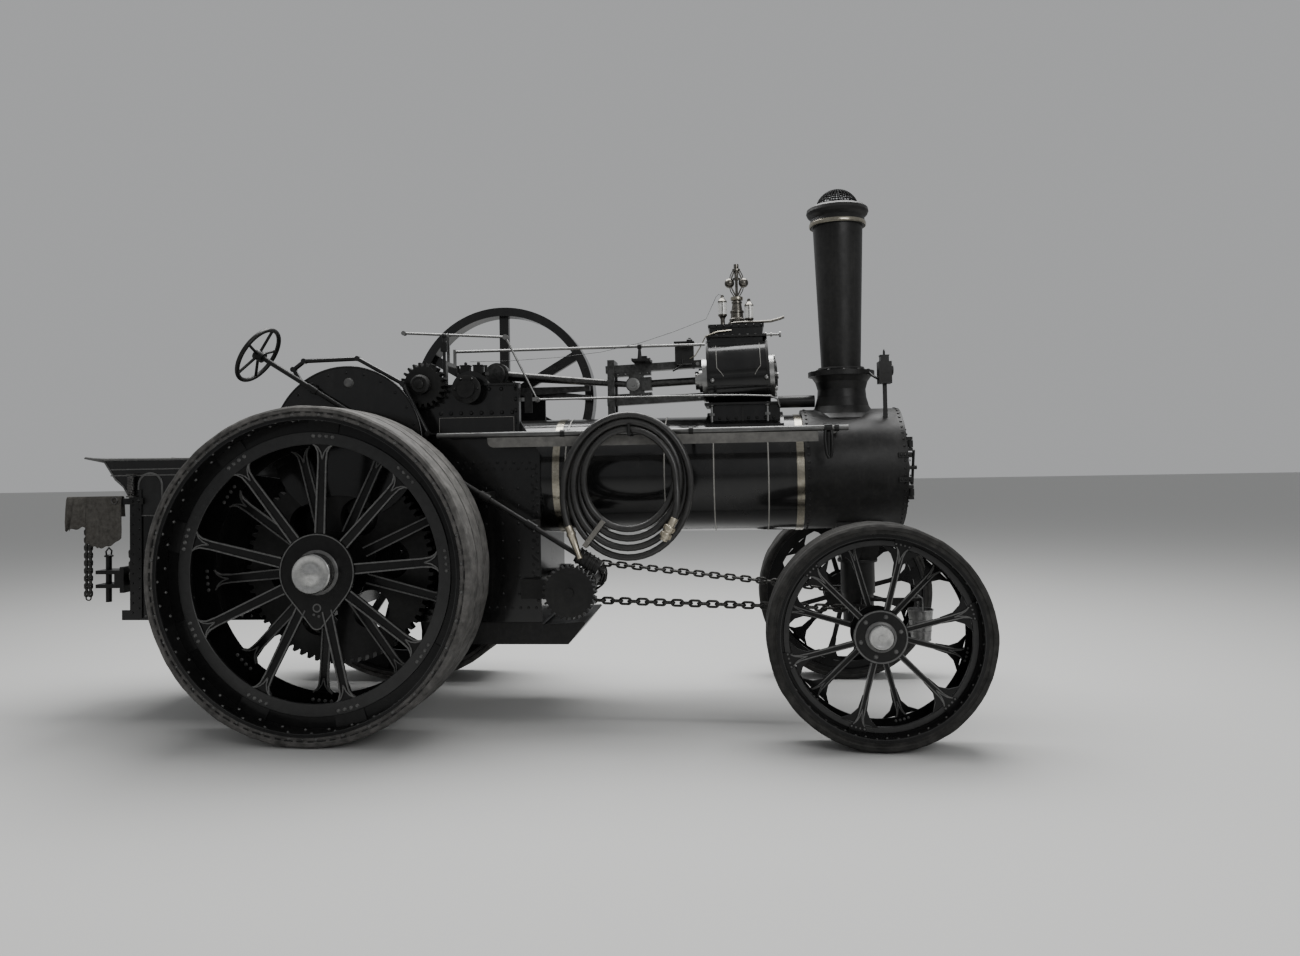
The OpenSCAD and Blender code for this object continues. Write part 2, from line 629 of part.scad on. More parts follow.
// Towing jaw at the back with its pin
module drawbar() color("#3a3b3c") at_frame() {
    difference() {
        union() {
            translate([-2000, -70, 868 - 62]) cube([210, 140, 124]);
            translate([-1790, -110, 868 - 90]) cube([30, 220, 180]);
            translate([-1760, -60, 868 - 40]) cube([299.8, 120, 80]);
        }
        translate([-2010, -75, 868 - 36]) cube([150, 150, 72]);
        translate([-1950, 0, 700]) cylinder(r = 20, h = 400);
    }
    translate([-1950, 0, 700]) cylinder(r = 19.7, h = 320);
}

module tender_arm() color("#3a3b3c") at_frame() {
    translate([-1872, -tank_half - 20.2, 1410]) cube([512, 20, 40]);
}

module canvas_flaps() color("#6b5a44") at_frame() {
    translate([-1872, -500, 1240]) cube([60, 120, 170 - seat]);
    translate([-1752, -480, 1115]) cube([240, 14, 295 - seat]);
}

// Steering: a hand wheel and the worm, both keyed on the column
worm_r = 48;
column_r = 16;
worm_off = worm_wheel_r + worm_r + clear + 1;
col = [barrel_x + worm_off * sin(column_slope), -column_y, barrel_z + worm_off * cos(column_slope)];
column_up = 2500;
module steering_wheel() color("#2b2c2e") at_frame() translate(col) rotate([0, column_slope - 90, 0]) {
    translate([0, 0, -120]) cylinder(r = column_r, h = column_up + 134);
    translate([0, 0, -80]) ring(worm_r, column_r + seat, 160);
    translate([0, 0, column_up]) rotate_extrude() translate([hand_wheel_r - 14, 0]) circle(r = 14);
    for (a = [0 : 72 : 288]) translate([0, 0, column_up]) rotate([0, 90, a])
        translate([0, 0, 26]) cylinder(r = 9, h = hand_wheel_r - 40);
    translate([0, 0, column_up - 40]) ring(34, column_r + seat, 60);
}

module column_brackets() color("#2b2c2e") at_frame() for (d = [420, 760, 2072]) difference() {
    p = col + [-d * cos(column_slope), 0, d * sin(column_slope)];
    base = d > 1000 ? guard_y : horn_out;
    union() {
        translate([p[0] - 20, -column_y, p[2] - 26]) cube([40, column_y - base, 52]);
        translate(p) rotate([0, column_slope - 90, 0])
            cylinder(r = column_r + (d > 1000 ? 5.9 : 9), h = 70, center = true);
    }
    translate(col) rotate([0, column_slope - 90, 0]) cylinder(r = column_r + run, h = column_up - 200);
}

// Chain barrel and its worm wheel
barrel_half = 395;
flange_t = 14;
barrel_shaft_r = 28;
module chain_barrel() color("#313234") at_frame() {
    along_y(barrel_x, -barrel_half, barrel_z) cylinder(r = barrel_r, h = 2 * barrel_half);
    along_y(barrel_x, -column_y - 40, barrel_z) cylinder(r = barrel_shaft_r, h = column_y + 40 + 470);
    along_y(barrel_x, -column_y - 30, barrel_z) gear(worm_wheel_r, 30, 18, 60);
    for (y = [-barrel_half, barrel_half - flange_t]) along_y(barrel_x, y, barrel_z)
        cylinder(r = barrel_r + 24, h = flange_t);
}

// Bearings that carry the barrel's shaft on the firebox
module barrel_bearings() color("#2b2c2e") at_frame() for (side = [-1, 1]) difference() {
    union() {
        along_y(barrel_x, side * 430 - 20, barrel_z) cylinder(r = 50, h = 40);
        translate([barrel_back + 0.2, side * 430 - 20, barrel_z - 30]) cube([barrel_x - barrel_back - 10, 40, 60]);
        translate([barrel_back - 120, side * (horn_out + 28) - 28 + 0.1 * side, barrel_z - 60]) cube([160, 56, 120]);
    }
    along_y(barrel_x, side * 430 - 60, barrel_z) cylinder(r = barrel_shaft_r + run, h = 120);
}

// One chain link, long axis along +X, flat in the XY plane
link_r = 8;
link_w = 18;
link_half = 36;
module link() for (turn = [0, 180]) rotate([0, 0, turn]) {
    translate([link_half - link_w, 0, 0]) rotate([0, 0, -90]) rotate_extrude(angle = 180, $fn = 24)
        translate([link_w, 0]) circle(r = link_r, $fn = 16);
    translate([-(link_half - link_w), link_w, 0]) rotate([0, 90, 0])
        cylinder(r = link_r, h = 2 * (link_half - link_w), $fn = 16);
}

// Links first to last of a chain that leaves point a and lies along the unit vector u
link_pitch = 2 * (link_half - link_r) - 2 * seat;
module chain(a, u, first, last) for (i = [first : last]) translate(a + (i + 0.5) * link_pitch * u)
    rotate([0, -asin(u[2]), atan2(u[1], u[0])]) rotate([i % 2 == 0 ? 0 : 90, 0, 0]) link();

// Each chain leaves the barrel below or above and ends on a pin of the front axle. One link is left
// out where a circle round the steering pin cuts the chain, so that the turning end passes the fixed one.
links = floor((wheelbase - barrel_x - 90) / link_pitch);
still_links = links - 9;
chain_len = links * link_pitch;
chain_y0 = 350;
chain_y1 = 430;
chain_z1 = front_r + 74;
function chain_start(side) = [barrel_x + 12, side * chain_y0, barrel_z + side * (barrel_r + link_r + seat)];
function chain_end(side) = let (a = chain_start(side), dy = side * chain_y1 - a[1], dz = chain_z1 - a[2])
    [a[0] + sqrt(chain_len * chain_len - dy * dy - dz * dz), side * chain_y1, chain_z1];
function chain_dir(side) = (chain_end(side) - chain_start(side)) / chain_len;
module steering_chains() color("#55575a") at_frame() for (side = [-1, 1])
    chain(chain_start(side), chain_dir(side), 0, still_links - 1);
module chain_ends() color("#55575a") at_frame() for (side = [-1, 1])
    chain(chain_start(side), chain_dir(side), still_links + 1, links - 1);

// Bracket below the smokebox, with the pin that the front axle turns on
perch_low = front_r + 112;
perch_pin_r = 32;
module perch_bracket() color("#242628") at_frame() difference() {
    union() {
        hull() {
            translate([wheelbase - 150, -190, smoke_z - 370]) cube([300, 380, 60]);
            translate([wheelbase - 110, -110, perch_low + 220]) cube([220, 220, 10]);
        }
        translate([wheelbase, 0, perch_low]) cylinder(r = 110, h = 226);
        translate([wheelbase, 0, front_r - 60]) cylinder(r = perch_pin_r, h = 200);
    }
    along_x(wheelbase - 300, 0, smoke_z) cylinder(r = smoke_r + seat, h = 600, $fn = 96);
}

beam_half = 52;
chain_pin_r = 8;
lug_half = 23;
chain_pin_back = link_r + chain_pin_r + seat;
module chain_lug(side) {
    e = chain_end(side) + (link_half - link_pitch / 2 - chain_pin_back) * chain_dir(side);
    for (low = [-lug_half, lug_half - 11]) translate([e[0] - 18, e[1] - 15, e[2] + low])
        cube([wheelbase - 46 - e[0] + 18, 30, 11]);
    translate([wheelbase - 47, e[1] - 15, front_r + 40]) cube([60, 30, e[2] + lug_half - front_r - 40]);
    translate([e[0], e[1], e[2] - lug_half]) cylinder(r = chain_pin_r, h = 2 * lug_half);
}

pail_x = wheelbase + 341;
pail_y = -300;
pail_z = 490;
pail_h = 190;
hook_z = 742;
front_axle_half = front_mid + front_hub_high + front_cap[1] - 20;
module front_axle() color("#2a2c2e") at_frame() difference() {
    union() {
        translate([wheelbase - 48, -front_in + 30, front_r - beam_half]) cube([96, 2 * front_in - 60, 2 * beam_half]);
        translate([wheelbase, 0, front_r - 78]) cylinder(r = 100, h = perch_low - front_r + 78 - seat);
        along_y(wheelbase, -front_axle_half, front_r) cylinder(r = front_axle_r, h = 2 * front_axle_half);
        for (side = [-1, 1]) chain_lug(side);
        translate([wheelbase - 20, pail_y - 14, front_r + 30]) cube([40, 28, hook_z - front_r - 20]);
        translate([wheelbase - 20, pail_y - 14, hook_z - 10]) cube([pail_x - wheelbase + 30, 28, 20]);
    }
    translate([wheelbase, 0, front_r - 100]) cylinder(r = perch_pin_r + run, h = 300);
}

// Pail with its bail over the arm of the front axle
module pail() color("#8c8c8a") at_frame() translate([pail_x, pail_y, pail_z]) {
    difference() {
        cylinder(r1 = 58, r2 = 76, h = pail_h);
        translate([0, 0, 4]) cylinder(r1 = 54, r2 = 72, h = pail_h);
    }
    for (side = [-1, 1]) translate([-4, side * 74 - 3, pail_h - 30])
        cube([8, 6, hook_z + 18.3 - pail_z - pail_h + 30]);
    translate([-4, -77, hook_z + 10.3 - pail_z]) cube([8, 154, 8]);
}

// A wheel's iron: rim, two T rings, two rows of spokes and the hub, axis along +Z, outer face up
module wheel_iron(r, w, rings, ring_in, hub_r, flange_r, cap, hub_low, hub_high, bore, count, start, down) {
    difference() {
        union() {
            translate([0, 0, -w / 2]) ring(r, r - 16, w, $fn = 128);
            for (z = rings) translate([0, 0, z - 6]) ring(r - 8, ring_in, 12, $fn = 128);
            translate([0, 0, hub_low]) cylinder(r = hub_r, h = hub_high - hub_low);
            for (z = [hub_low + 30, hub_high - 14]) translate([0, 0, z]) cylinder(r = flange_r, h = 14);
            translate([0, 0, hub_high - 1]) cylinder(r = cap[0], h = cap[1] + 1);
            if (down != 0) translate([0, 0, hub_high - 14]) linear_extrude(14) {
                polygon([[-0.78 * flange_r, down * 0.62 * flange_r], [0.78 * flange_r, down * 0.62 * flange_r],
                    [0.17 * flange_r, down * 1.38 * flange_r], [-0.17 * flange_r, down * 1.38 * flange_r]]);
                translate([0, down * 1.25 * flange_r]) circle(r = 0.216 * flange_r);
            }
            for (row = [0, 1]) for (i = [0 : count - 1])
                rotate([0, 0, start + (i + row / 2) * 360 / count])
                    spoke(flange_r * 0.6, r - 12, row == 0 ? hub_high - 27 : hub_low + 31,
                        row == 0 ? rings[0] + 5 : rings[1] - 17, r - ring_in, hub_r * 0.23);
        }
        translate([0, 0, hub_low - 1]) cylinder(r = bore, h = hub_high + cap[1] - 12 - hub_low + 1);
    }
}

// One flat spoke from radius a at height za to radius b at height zb, split and splayed at its foot
module spoke(a, b, za, zb, foot, half) {
    slope = atan((zb - za) / (b - a));
    len = (b - a) / cos(slope);
    translate([a, 0, za]) rotate([0, -slope, 0]) linear_extrude(12) polygon([
        [0, -half], [len - foot - 90, -half * 0.8],
        [len - foot - 10, -half * 1.15], [len - foot + 30, -half * 2.6], [len, -half * 2.8], [len, half * 2.8],
        [len - foot + 30, half * 2.6], [len - foot - 10, half * 1.15], [len - foot - 90, half * 0.8], [0, half]]);
}

module rear_wheel(down) wheel_iron(rim_r, rear_w, [rear_w / 2 - 130, 38 - rear_w / 2], rim_r - 162,
    rear_hub_r, 235, rear_cap, -200, rear_hub_high,
    rear_axle_r + run, rear_spokes, 5, down);
module rear_wheel_right() color("#5b5d60") at_frame() along_right(0, -rear_mid, rear_r) rear_wheel(-1);
module rear_wheel_left() color("#5b5d60") at_frame() along_y(0, rear_mid, rear_r) rear_wheel(1);

module rear_tyre() translate([0, 0, -rear_w / 2]) ring(rear_r, rim_r + seat, rear_w, $fn = 128);
module rear_tyre_right() color("#6e6e6c") at_frame() along_right(0, -rear_mid, rear_r) rear_tyre();
module rear_tyre_left() color("#6e6e6c") at_frame() along_y(0, rear_mid, rear_r) rear_tyre();

module front_wheel() wheel_iron(front_rim_r, front_w, [front_w / 2 - 80, 30 - front_w / 2],
    front_rim_r - 70, 80, 148, front_cap, -120, front_hub_high,
    front_axle_r + run, front_spokes, 15, 0);
module front_wheel_right() color("#5b5d60") at_frame() along_right(wheelbase, -front_mid, front_r) front_wheel();
module front_wheel_left() color("#5b5d60") at_frame() along_y(wheelbase, front_mid, front_r) front_wheel();

module front_tyre() translate([0, 0, -front_w / 2]) ring(front_r, front_rim_r + seat, front_w, $fn = 128);
module front_tyre_right() color("#6e6e6c") at_frame() along_right(wheelbase, -front_mid, front_r) front_tyre();
module front_tyre_left() color("#6e6e6c") at_frame() along_y(wheelbase, front_mid, front_r) front_tyre();

// Rail along the boiler's right side, carried on short stalks
rail_y = 540;
rail_z = 1815;
rail_r = 18;
rail_start = 650;
rail_end = barrel_front + 250;
module side_rail() color("#3a3c3e") at_frame() difference() {
    union() {
        along_x(rail_start, -rail_y, rail_z) cylinder(r = rail_r, h = rail_end - rail_start);
        for (x = [1450, hose_c[0] + 370, barrel_front + 180]) {
            along_y(x, -rail_y, rail_z) cylinder(r = 12, h = rail_y - 230);
            along_y(x, -rail_y + 200, rail_z) cylinder(r = 30, h = 100);
        }
    }
    along_x(0, 0, boiler_z) cylinder(r = boiler_r + seat, h = barrel_front + 0.1, $fn = 96);
    along_x(barrel_front, 0, smoke_z) cylinder(r = smoke_r + seat, h = 900, $fn = 96);
}

// Flat board held below the rail
board_start = 975;
board_end = barrel_front + 70;
module side_board() color("#8b877d") at_frame() side_plate(-rail_y, 22) difference() {
    translate([board_start, rail_z - rail_r - 62 - seat]) square([board_end - board_start, 62]);
    translate([board_start, rail_z - rail_r - 62 - seat]) difference() {
        translate([-1, -1]) square([41, 41]);
        translate([40, 40]) circle(r = 40);
    }
    translate([hose_c[0] - 18, rail_z - rail_r - 11]) square([36, 20]);
}

// Regulator rod, reversing rod with its hanging link, and the rod of the drain cocks, with what guides them
rod_back = 655;
rod_r = 9;
reg_z = crank_z + 274;
link_y = -horn_in + 42;
rev_back = [366, link_y, crank_z + 390];
rev_front = [1045, link_y, crank_z + 344];
link_foot = [1249, link_y, crank_z - 68];
module control_rods() color("#b4b6b8") at_frame() {
    along_x(rod_back, -200, reg_z) cylinder(r = rod_r, h = cyl_back - 11 - rod_back);
    translate([rod_back, -212, reg_z - 85]) cube([16, 24, 100]);
    translate([rod_back, -horn_in - 8, reg_z - 110]) cube([16, horn_in - 180, 26]);
    translate([rod_back, -horn_in - 8, crank_z + 39.2]) cube([16, 16, 126]);
    rod(rev_back, rev_front, rod_r - 1);
    translate([rod_back, link_y - 8, reg_z - 100]) cube([16, 16, rev_back[2] - 20 - reg_z + 106]);
    for (p = [rev_front, link_foot]) along_y(p[0], link_y - 14, p[2]) cylinder(r = 17, h = 28);
    rod(rev_front, link_foot, rod_r - 2);
    along_y(rev_back[0], link_y - 16, rev_back[2]) cylinder(r = 15, h = 32);
    along_y(link_foot[0], -horn_in - 8, link_foot[2]) cylinder(r = 10, h = 60);
    translate([1151.2, -horn_in - 8, link_foot[2] - 12]) cube([link_foot[0] - 1151.2, 12, 24]);
    along_x(link_foot[0], link_y, link_foot[2]) cylinder(r = rod_r - 2, h = cyl_back + 60 - link_foot[0]);
    along_y(cyl_back + 50, link_y, link_foot[2]) cylinder(r = 10, h = -link_y - cyl_half + 8.7);
}

module fire_door() color("#2a2b2c") at_frame() {
    along_x(firebox_back - 14, 0, fire_hole_z) cylinder(r = fire_hole_r + 16, h = 13);
    for (z = fire_hinge_zs) difference() {
        union() {
            translate([firebox_back - 14, fire_pin_y + 4, fire_hole_z + z - 14]) cube([10, 120, 28]);
            translate([fire_pin_x, fire_pin_y, fire_hole_z + z - 14]) cylinder(r = 9.4 + run, h = 28);
        }
        translate([fire_pin_x, fire_pin_y, fire_hole_z + z - 20]) cylinder(r = fire_pin_r + run, h = 40);
    }
}

// Suction hose, coiled and hung on a hook of the rail
hose_d = 43;
hose_out_r = 455;
hose_in_r = 345;
hose_thick = 2 * hose_d + 4;
hose_near = rail_y + rail_r + 12;
hose_c = [1880, -hose_near - hose_thick / 2, 1462];
module hose_coil() color("#8a857a") at_frame() translate(hose_c) rotate([90, 0, 0]) rotate_extrude($fn = 96)
    translate([(hose_out_r + hose_in_r) / 2, 0]) square([hose_out_r - hose_in_r, hose_thick], center = true);

// Two halves of the hose's coupling, screwed together and lying against the coil
coupling_r = 33;
module hose_coupling() color("#a8a294") at_frame()
    translate([hose_c[0] + 255, -hose_near - hose_thick - coupling_r - seat, hose_c[2] - 200]) rotate([0, 209, 0]) {
        cylinder(r = 24, h = 117);
        for (z = [22, 66]) translate([0, 0, z]) cylinder(r = coupling_r, h = 34);
    }

peg_r = 11;
module hose_hook() color("#3a3c3e") at_frame() translate([hose_c[0], 0, 0]) {
    along_x(-16, -rail_y, rail_z) ring(rail_r + 10, rail_r + seat, 32);
    along_right(0, -rail_y - rail_r - 6, hose_c[2] + hose_in_r - peg_r - seat)
        cylinder(r = peg_r, h = hose_thick + 30);
    translate([0, -hose_near - hose_thick - 14, hose_c[2] + hose_in_r - peg_r - seat]) cylinder(r = peg_r, h = 60);
}

boiler_barrel();
boiler_bands();
firebox();
ashpan();
smokebox();
smokebox_door();
chimney_base();
chimney_barrel();
chimney_cap();
spark_arrestor();
lamp();
cylinder_block();
cylinder_covers();
safety_valves();
lubricators();
exhaust_pipe();
slide_bars();
crosshead();
connecting_rod();
valve_gear();
crankshaft();
crank_bearings();
flywheel();
hornplate_right();
hornplate_left();
second_shaft();
third_shaft();
final_gear();
rear_axle();
gear_guard();
handrail();
tender();
footplate();
drawbar();
tender_arm();
canvas_flaps();
steering_wheel();
column_brackets();
chain_barrel();
barrel_bearings();
steering_chains();
chain_ends();
perch_bracket();
front_axle();
pail();
rear_wheel_right();
rear_wheel_left();
rear_tyre_right();
rear_tyre_left();
front_wheel_right();
front_wheel_left();
front_tyre_right();
front_tyre_left();
side_rail();
side_board();
control_rods();
fire_door();
hose_coil();
hose_coupling();
hose_hook();
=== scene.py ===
# Steam traction engine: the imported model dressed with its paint, bright work, rivets, treads, chains and hose.
import bpy
import bmesh
from math import radians, sin, cos, pi, tau, sqrt, atan2, hypot, asin, acos
from mathutils import Vector, Matrix, noise
from types import SimpleNamespace


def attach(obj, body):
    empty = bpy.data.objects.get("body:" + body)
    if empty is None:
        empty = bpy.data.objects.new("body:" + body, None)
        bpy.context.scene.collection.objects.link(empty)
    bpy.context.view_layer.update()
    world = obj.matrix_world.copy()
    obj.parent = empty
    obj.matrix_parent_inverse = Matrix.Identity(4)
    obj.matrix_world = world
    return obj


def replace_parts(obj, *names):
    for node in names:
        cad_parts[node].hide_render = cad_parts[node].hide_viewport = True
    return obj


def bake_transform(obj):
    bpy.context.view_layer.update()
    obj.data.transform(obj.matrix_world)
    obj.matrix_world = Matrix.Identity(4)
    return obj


UP, AHEAD, BACK, LEFT, RIGHT = (0, 0, 1), (1, 0, 0), (-1, 0, 0), (0, 1, 0), (0, -1, 0)

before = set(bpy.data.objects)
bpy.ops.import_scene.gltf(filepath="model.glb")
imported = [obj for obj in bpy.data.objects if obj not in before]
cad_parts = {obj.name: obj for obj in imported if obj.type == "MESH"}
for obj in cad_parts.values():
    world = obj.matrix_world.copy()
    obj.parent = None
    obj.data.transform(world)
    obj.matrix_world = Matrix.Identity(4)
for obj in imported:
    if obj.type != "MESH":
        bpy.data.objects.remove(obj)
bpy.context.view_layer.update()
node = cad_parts


# Camera: it stands off the engine's right side, level with the boiler and a little ahead of its middle.
# The shift keeps the horizon above the middle of the picture.
def add_object(name, data):
    """A new object of the scene that shows this data."""
    made = bpy.data.objects.new(name, data)
    bpy.context.collection.objects.link(made)
    return made


FRAME_W = 1300
eye = Vector((1.5624, -6.134, 1.639))
yaw, pitch, roll = -0.095, 0.0291, -0.0184
look = Vector((sin(yaw) * cos(pitch), cos(yaw) * cos(pitch), sin(pitch)))
level = Vector((cos(yaw), -sin(yaw), 0))
lift = level.cross(look)
right = cos(roll) * level + sin(roll) * lift
up = -sin(roll) * level + cos(roll) * lift
camera_data = bpy.data.cameras.new("camera")
camera_data.sensor_fit = "HORIZONTAL"
camera_data.sensor_width = 36
camera_data.lens = 36 * 912.07 / FRAME_W
camera_data.shift_y = (433.5 - 478) / FRAME_W
camera = add_object("camera", camera_data)
camera.matrix_world = Matrix.Translation(eye) @ Matrix((right, up, -look)).transposed().to_4x4()
bpy.context.scene.camera = camera


# Suction hose: ribbed rubber, 42 mm across, wound in four and a half turns and hung on the rail's hook.
# A canvas tie holds the turns together, and a brass coupling and a nozzle close its ends.
bm = bmesh.new()
move = Matrix.Translation


def about(axis, degrees):
    """A turn about an axis through the origin."""
    return Matrix.Rotation(radians(degrees), 4, axis)


def put(name, material, body="engine", smooth=True, angle=40, place=None):
    """Makes a piece of the working mesh, cleaned and turned outwards, and starts the next mesh."""
    global bm
    if place:
        bmesh.ops.transform(bm, matrix=place, verts=bm.verts)
    bmesh.ops.remove_doubles(bm, verts=bm.verts, dist=1e-5)
    bmesh.ops.recalc_face_normals(bm, faces=bm.faces)
    mesh = bpy.data.meshes.new(name)
    bm.to_mesh(mesh)
    bm.free()
    bm = bmesh.new()
    piece = add_object(name, mesh)
    mesh.materials.append(material)
    if smooth:
        mesh.shade_smooth()
        if angle:
            mesh.set_sharp_from_angle(angle=radians(angle))
    if body:
        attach(piece, body)
    return piece


def dress(material, *names):
    """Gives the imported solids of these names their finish."""
    for name in names:
        node[name].data.materials.clear()
        node[name].data.materials.append(material)
        node[name].data.shade_smooth()
        node[name].data.set_sharp_from_angle(angle=radians(32))


def coat(name, base, fleck, rough, metal=0.0, grain=40.0, dents=0.1, dust=0.0, streak=0.0, gloss=0.0, spec=0.5):
    """Paint or metal in two tones, with a fine grain, dull patches, dust on what faces up and rain streaks."""
    material = bpy.data.materials.new(name)
    material.use_nodes = True
    tree = material.node_tree
    shader = tree.nodes["Principled BSDF"]
    link = tree.links.new

    def add(kind, **inputs):
        made = tree.nodes.new(kind)
        for key, value in inputs.items():
            made.inputs[key.replace("_", " ")].default_value = value
        return made

    def blend(factor, dark, light):
        mix = tree.nodes.new("ShaderNodeMix")
        mix.data_type = "RGBA"
        for socket, value in ((mix.inputs[0], factor), (mix.inputs[6], dark), (mix.inputs[7], light)):
            if isinstance(value, (tuple, float)):
                socket.default_value = value
            else:
                link(value, socket)
        return mix.outputs[2]

    def ramp(source, low, high, a=0.0, b=1.0):
        made = add("ShaderNodeMapRange", From_Min=low, From_Max=high, To_Min=a, To_Max=b)
        link(source, made.inputs["Value"])
        return made.outputs[0]

    place = tree.nodes.new("ShaderNodeTexCoord").outputs["Object"]
    fine = add("ShaderNodeTexNoise", Scale=grain, Detail=8.0, Roughness=0.65)
    broad = add("ShaderNodeTexNoise", Scale=grain / 11, Detail=5.0, Roughness=0.6)
    link(place, fine.inputs["Vector"])
    link(place, broad.inputs["Vector"])
    patches = ramp(broad.outputs["Fac"], 0.38, 0.66)
    colour = blend(ramp(fine.outputs["Fac"], 0.35, 0.7), (*base, 1.0), (*fleck, 1.0))
    if streak:
        thin = tree.nodes.new("ShaderNodeMapping")
        thin.inputs["Scale"].default_value = (17.0, 17.0, 1.6)
        link(place, thin.inputs["Vector"])
        rain = add("ShaderNodeTexNoise", Scale=1.0, Detail=6.0, Roughness=0.7)
        link(thin.outputs[0], rain.inputs["Vector"])
        colour = blend(ramp(rain.outputs["Fac"], 0.52, 0.8, 0.0, streak), colour, (0.16, 0.155, 0.145, 1.0))
    if dust:
        facing = tree.nodes.new("ShaderNodeSeparateXYZ")
        link(tree.nodes.new("ShaderNodeNewGeometry").outputs["Normal"], facing.inputs[0])
        lying = tree.nodes.new("ShaderNodeMath")
        lying.operation = "MULTIPLY"
        link(ramp(facing.outputs["Z"], -0.1, 1.0, 0.25 * dust, dust), lying.inputs[0])
        link(ramp(broad.outputs["Fac"], 0.3, 0.7), lying.inputs[1])
        colour = blend(lying.outputs[0], colour, (0.33, 0.32, 0.3, 1.0))
    link(colour, shader.inputs["Base Color"])
    link(ramp(patches, 0.0, 1.0, rough * 0.8, min(1.0, rough * 1.3)), shader.inputs["Roughness"])
    for key, value in (("Metallic", metal), ("Coat Weight", gloss), ("Coat Roughness", 0.12),
                       ("Specular IOR Level", spec)):
        shader.inputs[key].default_value = value
    bump = add("ShaderNodeBump", Strength=dents, Distance=0.002)
    link(fine.outputs["Fac"], bump.inputs["Height"])
    link(bump.outputs[0], shader.inputs["Normal"])
    return material


hose_rubber = coat("hose_rubber", (0.01, 0.01, 0.0098), (0.026, 0.025, 0.024), 0.34, grain=60, dents=0.25, dust=0.1,
                   gloss=0.15, spec=0.4)
HOSE_D = 0.042
COIL_X, HOSE_Y = 0.906, -0.615


def hose_turn(turn):
    """A point on the hung coil: 0 is the crown of the innermost turn, and each turn on is wider and hangs lower."""
    a = tau * turn
    across = 0.262 + 0.032 * turn + 0.165 * max(0.0, -turn)
    crown, foot = 1.829 + 0.022 * turn, 1.252 - 0.058 * max(0.0, turn)
    x = COIL_X - sin(a) * across - 0.01 * (1 - cos(a))
    y = HOSE_Y - 0.022 * cos(pi * turn) - 0.13 * max(0.0, -turn)
    return Vector((x, y, (crown + foot) / 2 + (crown - foot) / 2 * cos(a)))


def ease(p0, t0, p1, t1, count):
    """Points of a smooth curve that leaves p0 along t0 and comes into p1 along t1, without its last point."""
    return [p0 * (2 * t**3 - 3 * t**2 + 1) + t0 * (t**3 - 2 * t**2 + t) + p1 * (3 * t**2 - 2 * t**3)
            + t1 * (t**3 - t**2) for t in (k / count for k in range(count))]


coupling_top = Vector((1.1675, -0.6933, 1.262))
coupling_up = Vector((sin(radians(29)), 0, cos(radians(29))))
first, last = hose_turn(-0.25), hose_turn(4.25)
nozzle_start = Vector((0.5405, -0.634, 1.208))
nozzle_down = Vector((0.341, 0, -0.94)).normalized()
hose_line = ease(coupling_top, coupling_up * 0.26, first, (hose_turn(-0.24) - first).normalized() * 0.26, 12)
hose_line += [hose_turn(step / 48) for step in range(-12, 204)]
hose_line += ease(last, (last - hose_turn(4.24)).normalized() * 0.28, nozzle_start, nozzle_down * 0.28,
                  12) + [nozzle_start]


def soft_line(name, points, bevel, material):
    """A cord: one open spline through the points, with a round section."""
    curve = bpy.data.curves.new(name, "CURVE")
    curve.dimensions = "3D"
    curve.bevel_depth = bevel
    curve.bevel_resolution = 6
    curve.use_fill_caps = True
    spline = curve.splines.new("POLY")
    spline.points.add(len(points) - 1)
    for point, where in zip(spline.points, points):
        point.co = (*where, 1.0)
    curve.materials.append(material)
    return add_object(name, curve)


def line_length(points):
    """The length of a line through points."""
    return sum((b - a).length for a, b in zip(points, points[1:]))


def lathe(profile, base=(0, 0, 0), axis=UP, steps=24):
    """Turns a profile of (distance along the axis, radius) into a closed solid."""
    axis = Vector(axis).normalized()
    side = axis.orthogonal().normalized()
    base = Vector(base)
    ring = [bm.verts.new(base + axis * t + side * r) for t, r in profile]
    edges = [bm.edges.new(pair) for pair in zip(ring, ring[1:])]
    bmesh.ops.spin(bm, geom=ring + edges, cent=base, axis=axis, dvec=(0, 0, 0), angle=tau, steps=steps, use_merge=True)


def band(profile, base=(0, 0, 0), axis=UP, steps=24):
    """Turns a closed section that stands off the axis."""
    lathe(profile + profile[:1], base, axis, steps)


def stud(profile, base=(0, 0, 0), axis=UP, steps=24):
    """Turns a solid with flat ends."""
    lathe([(profile[0][0], 0), *profile, (profile[-1][0], 0)], base, axis, steps)


def box(centre, size, place=Matrix.Identity(4)):
    """A cuboid by its centre and size."""
    bmesh.ops.create_cube(bm, size=1.0, matrix=place @ move(centre) @ Matrix.Diagonal((*size, 1)))


def collar(inner, outer, half, where, axis, steps):
    """A plain round collar, half its length to each side of where."""
    band([(-half, inner), (-half, outer), (half, outer), (half, inner)], where, axis, steps)


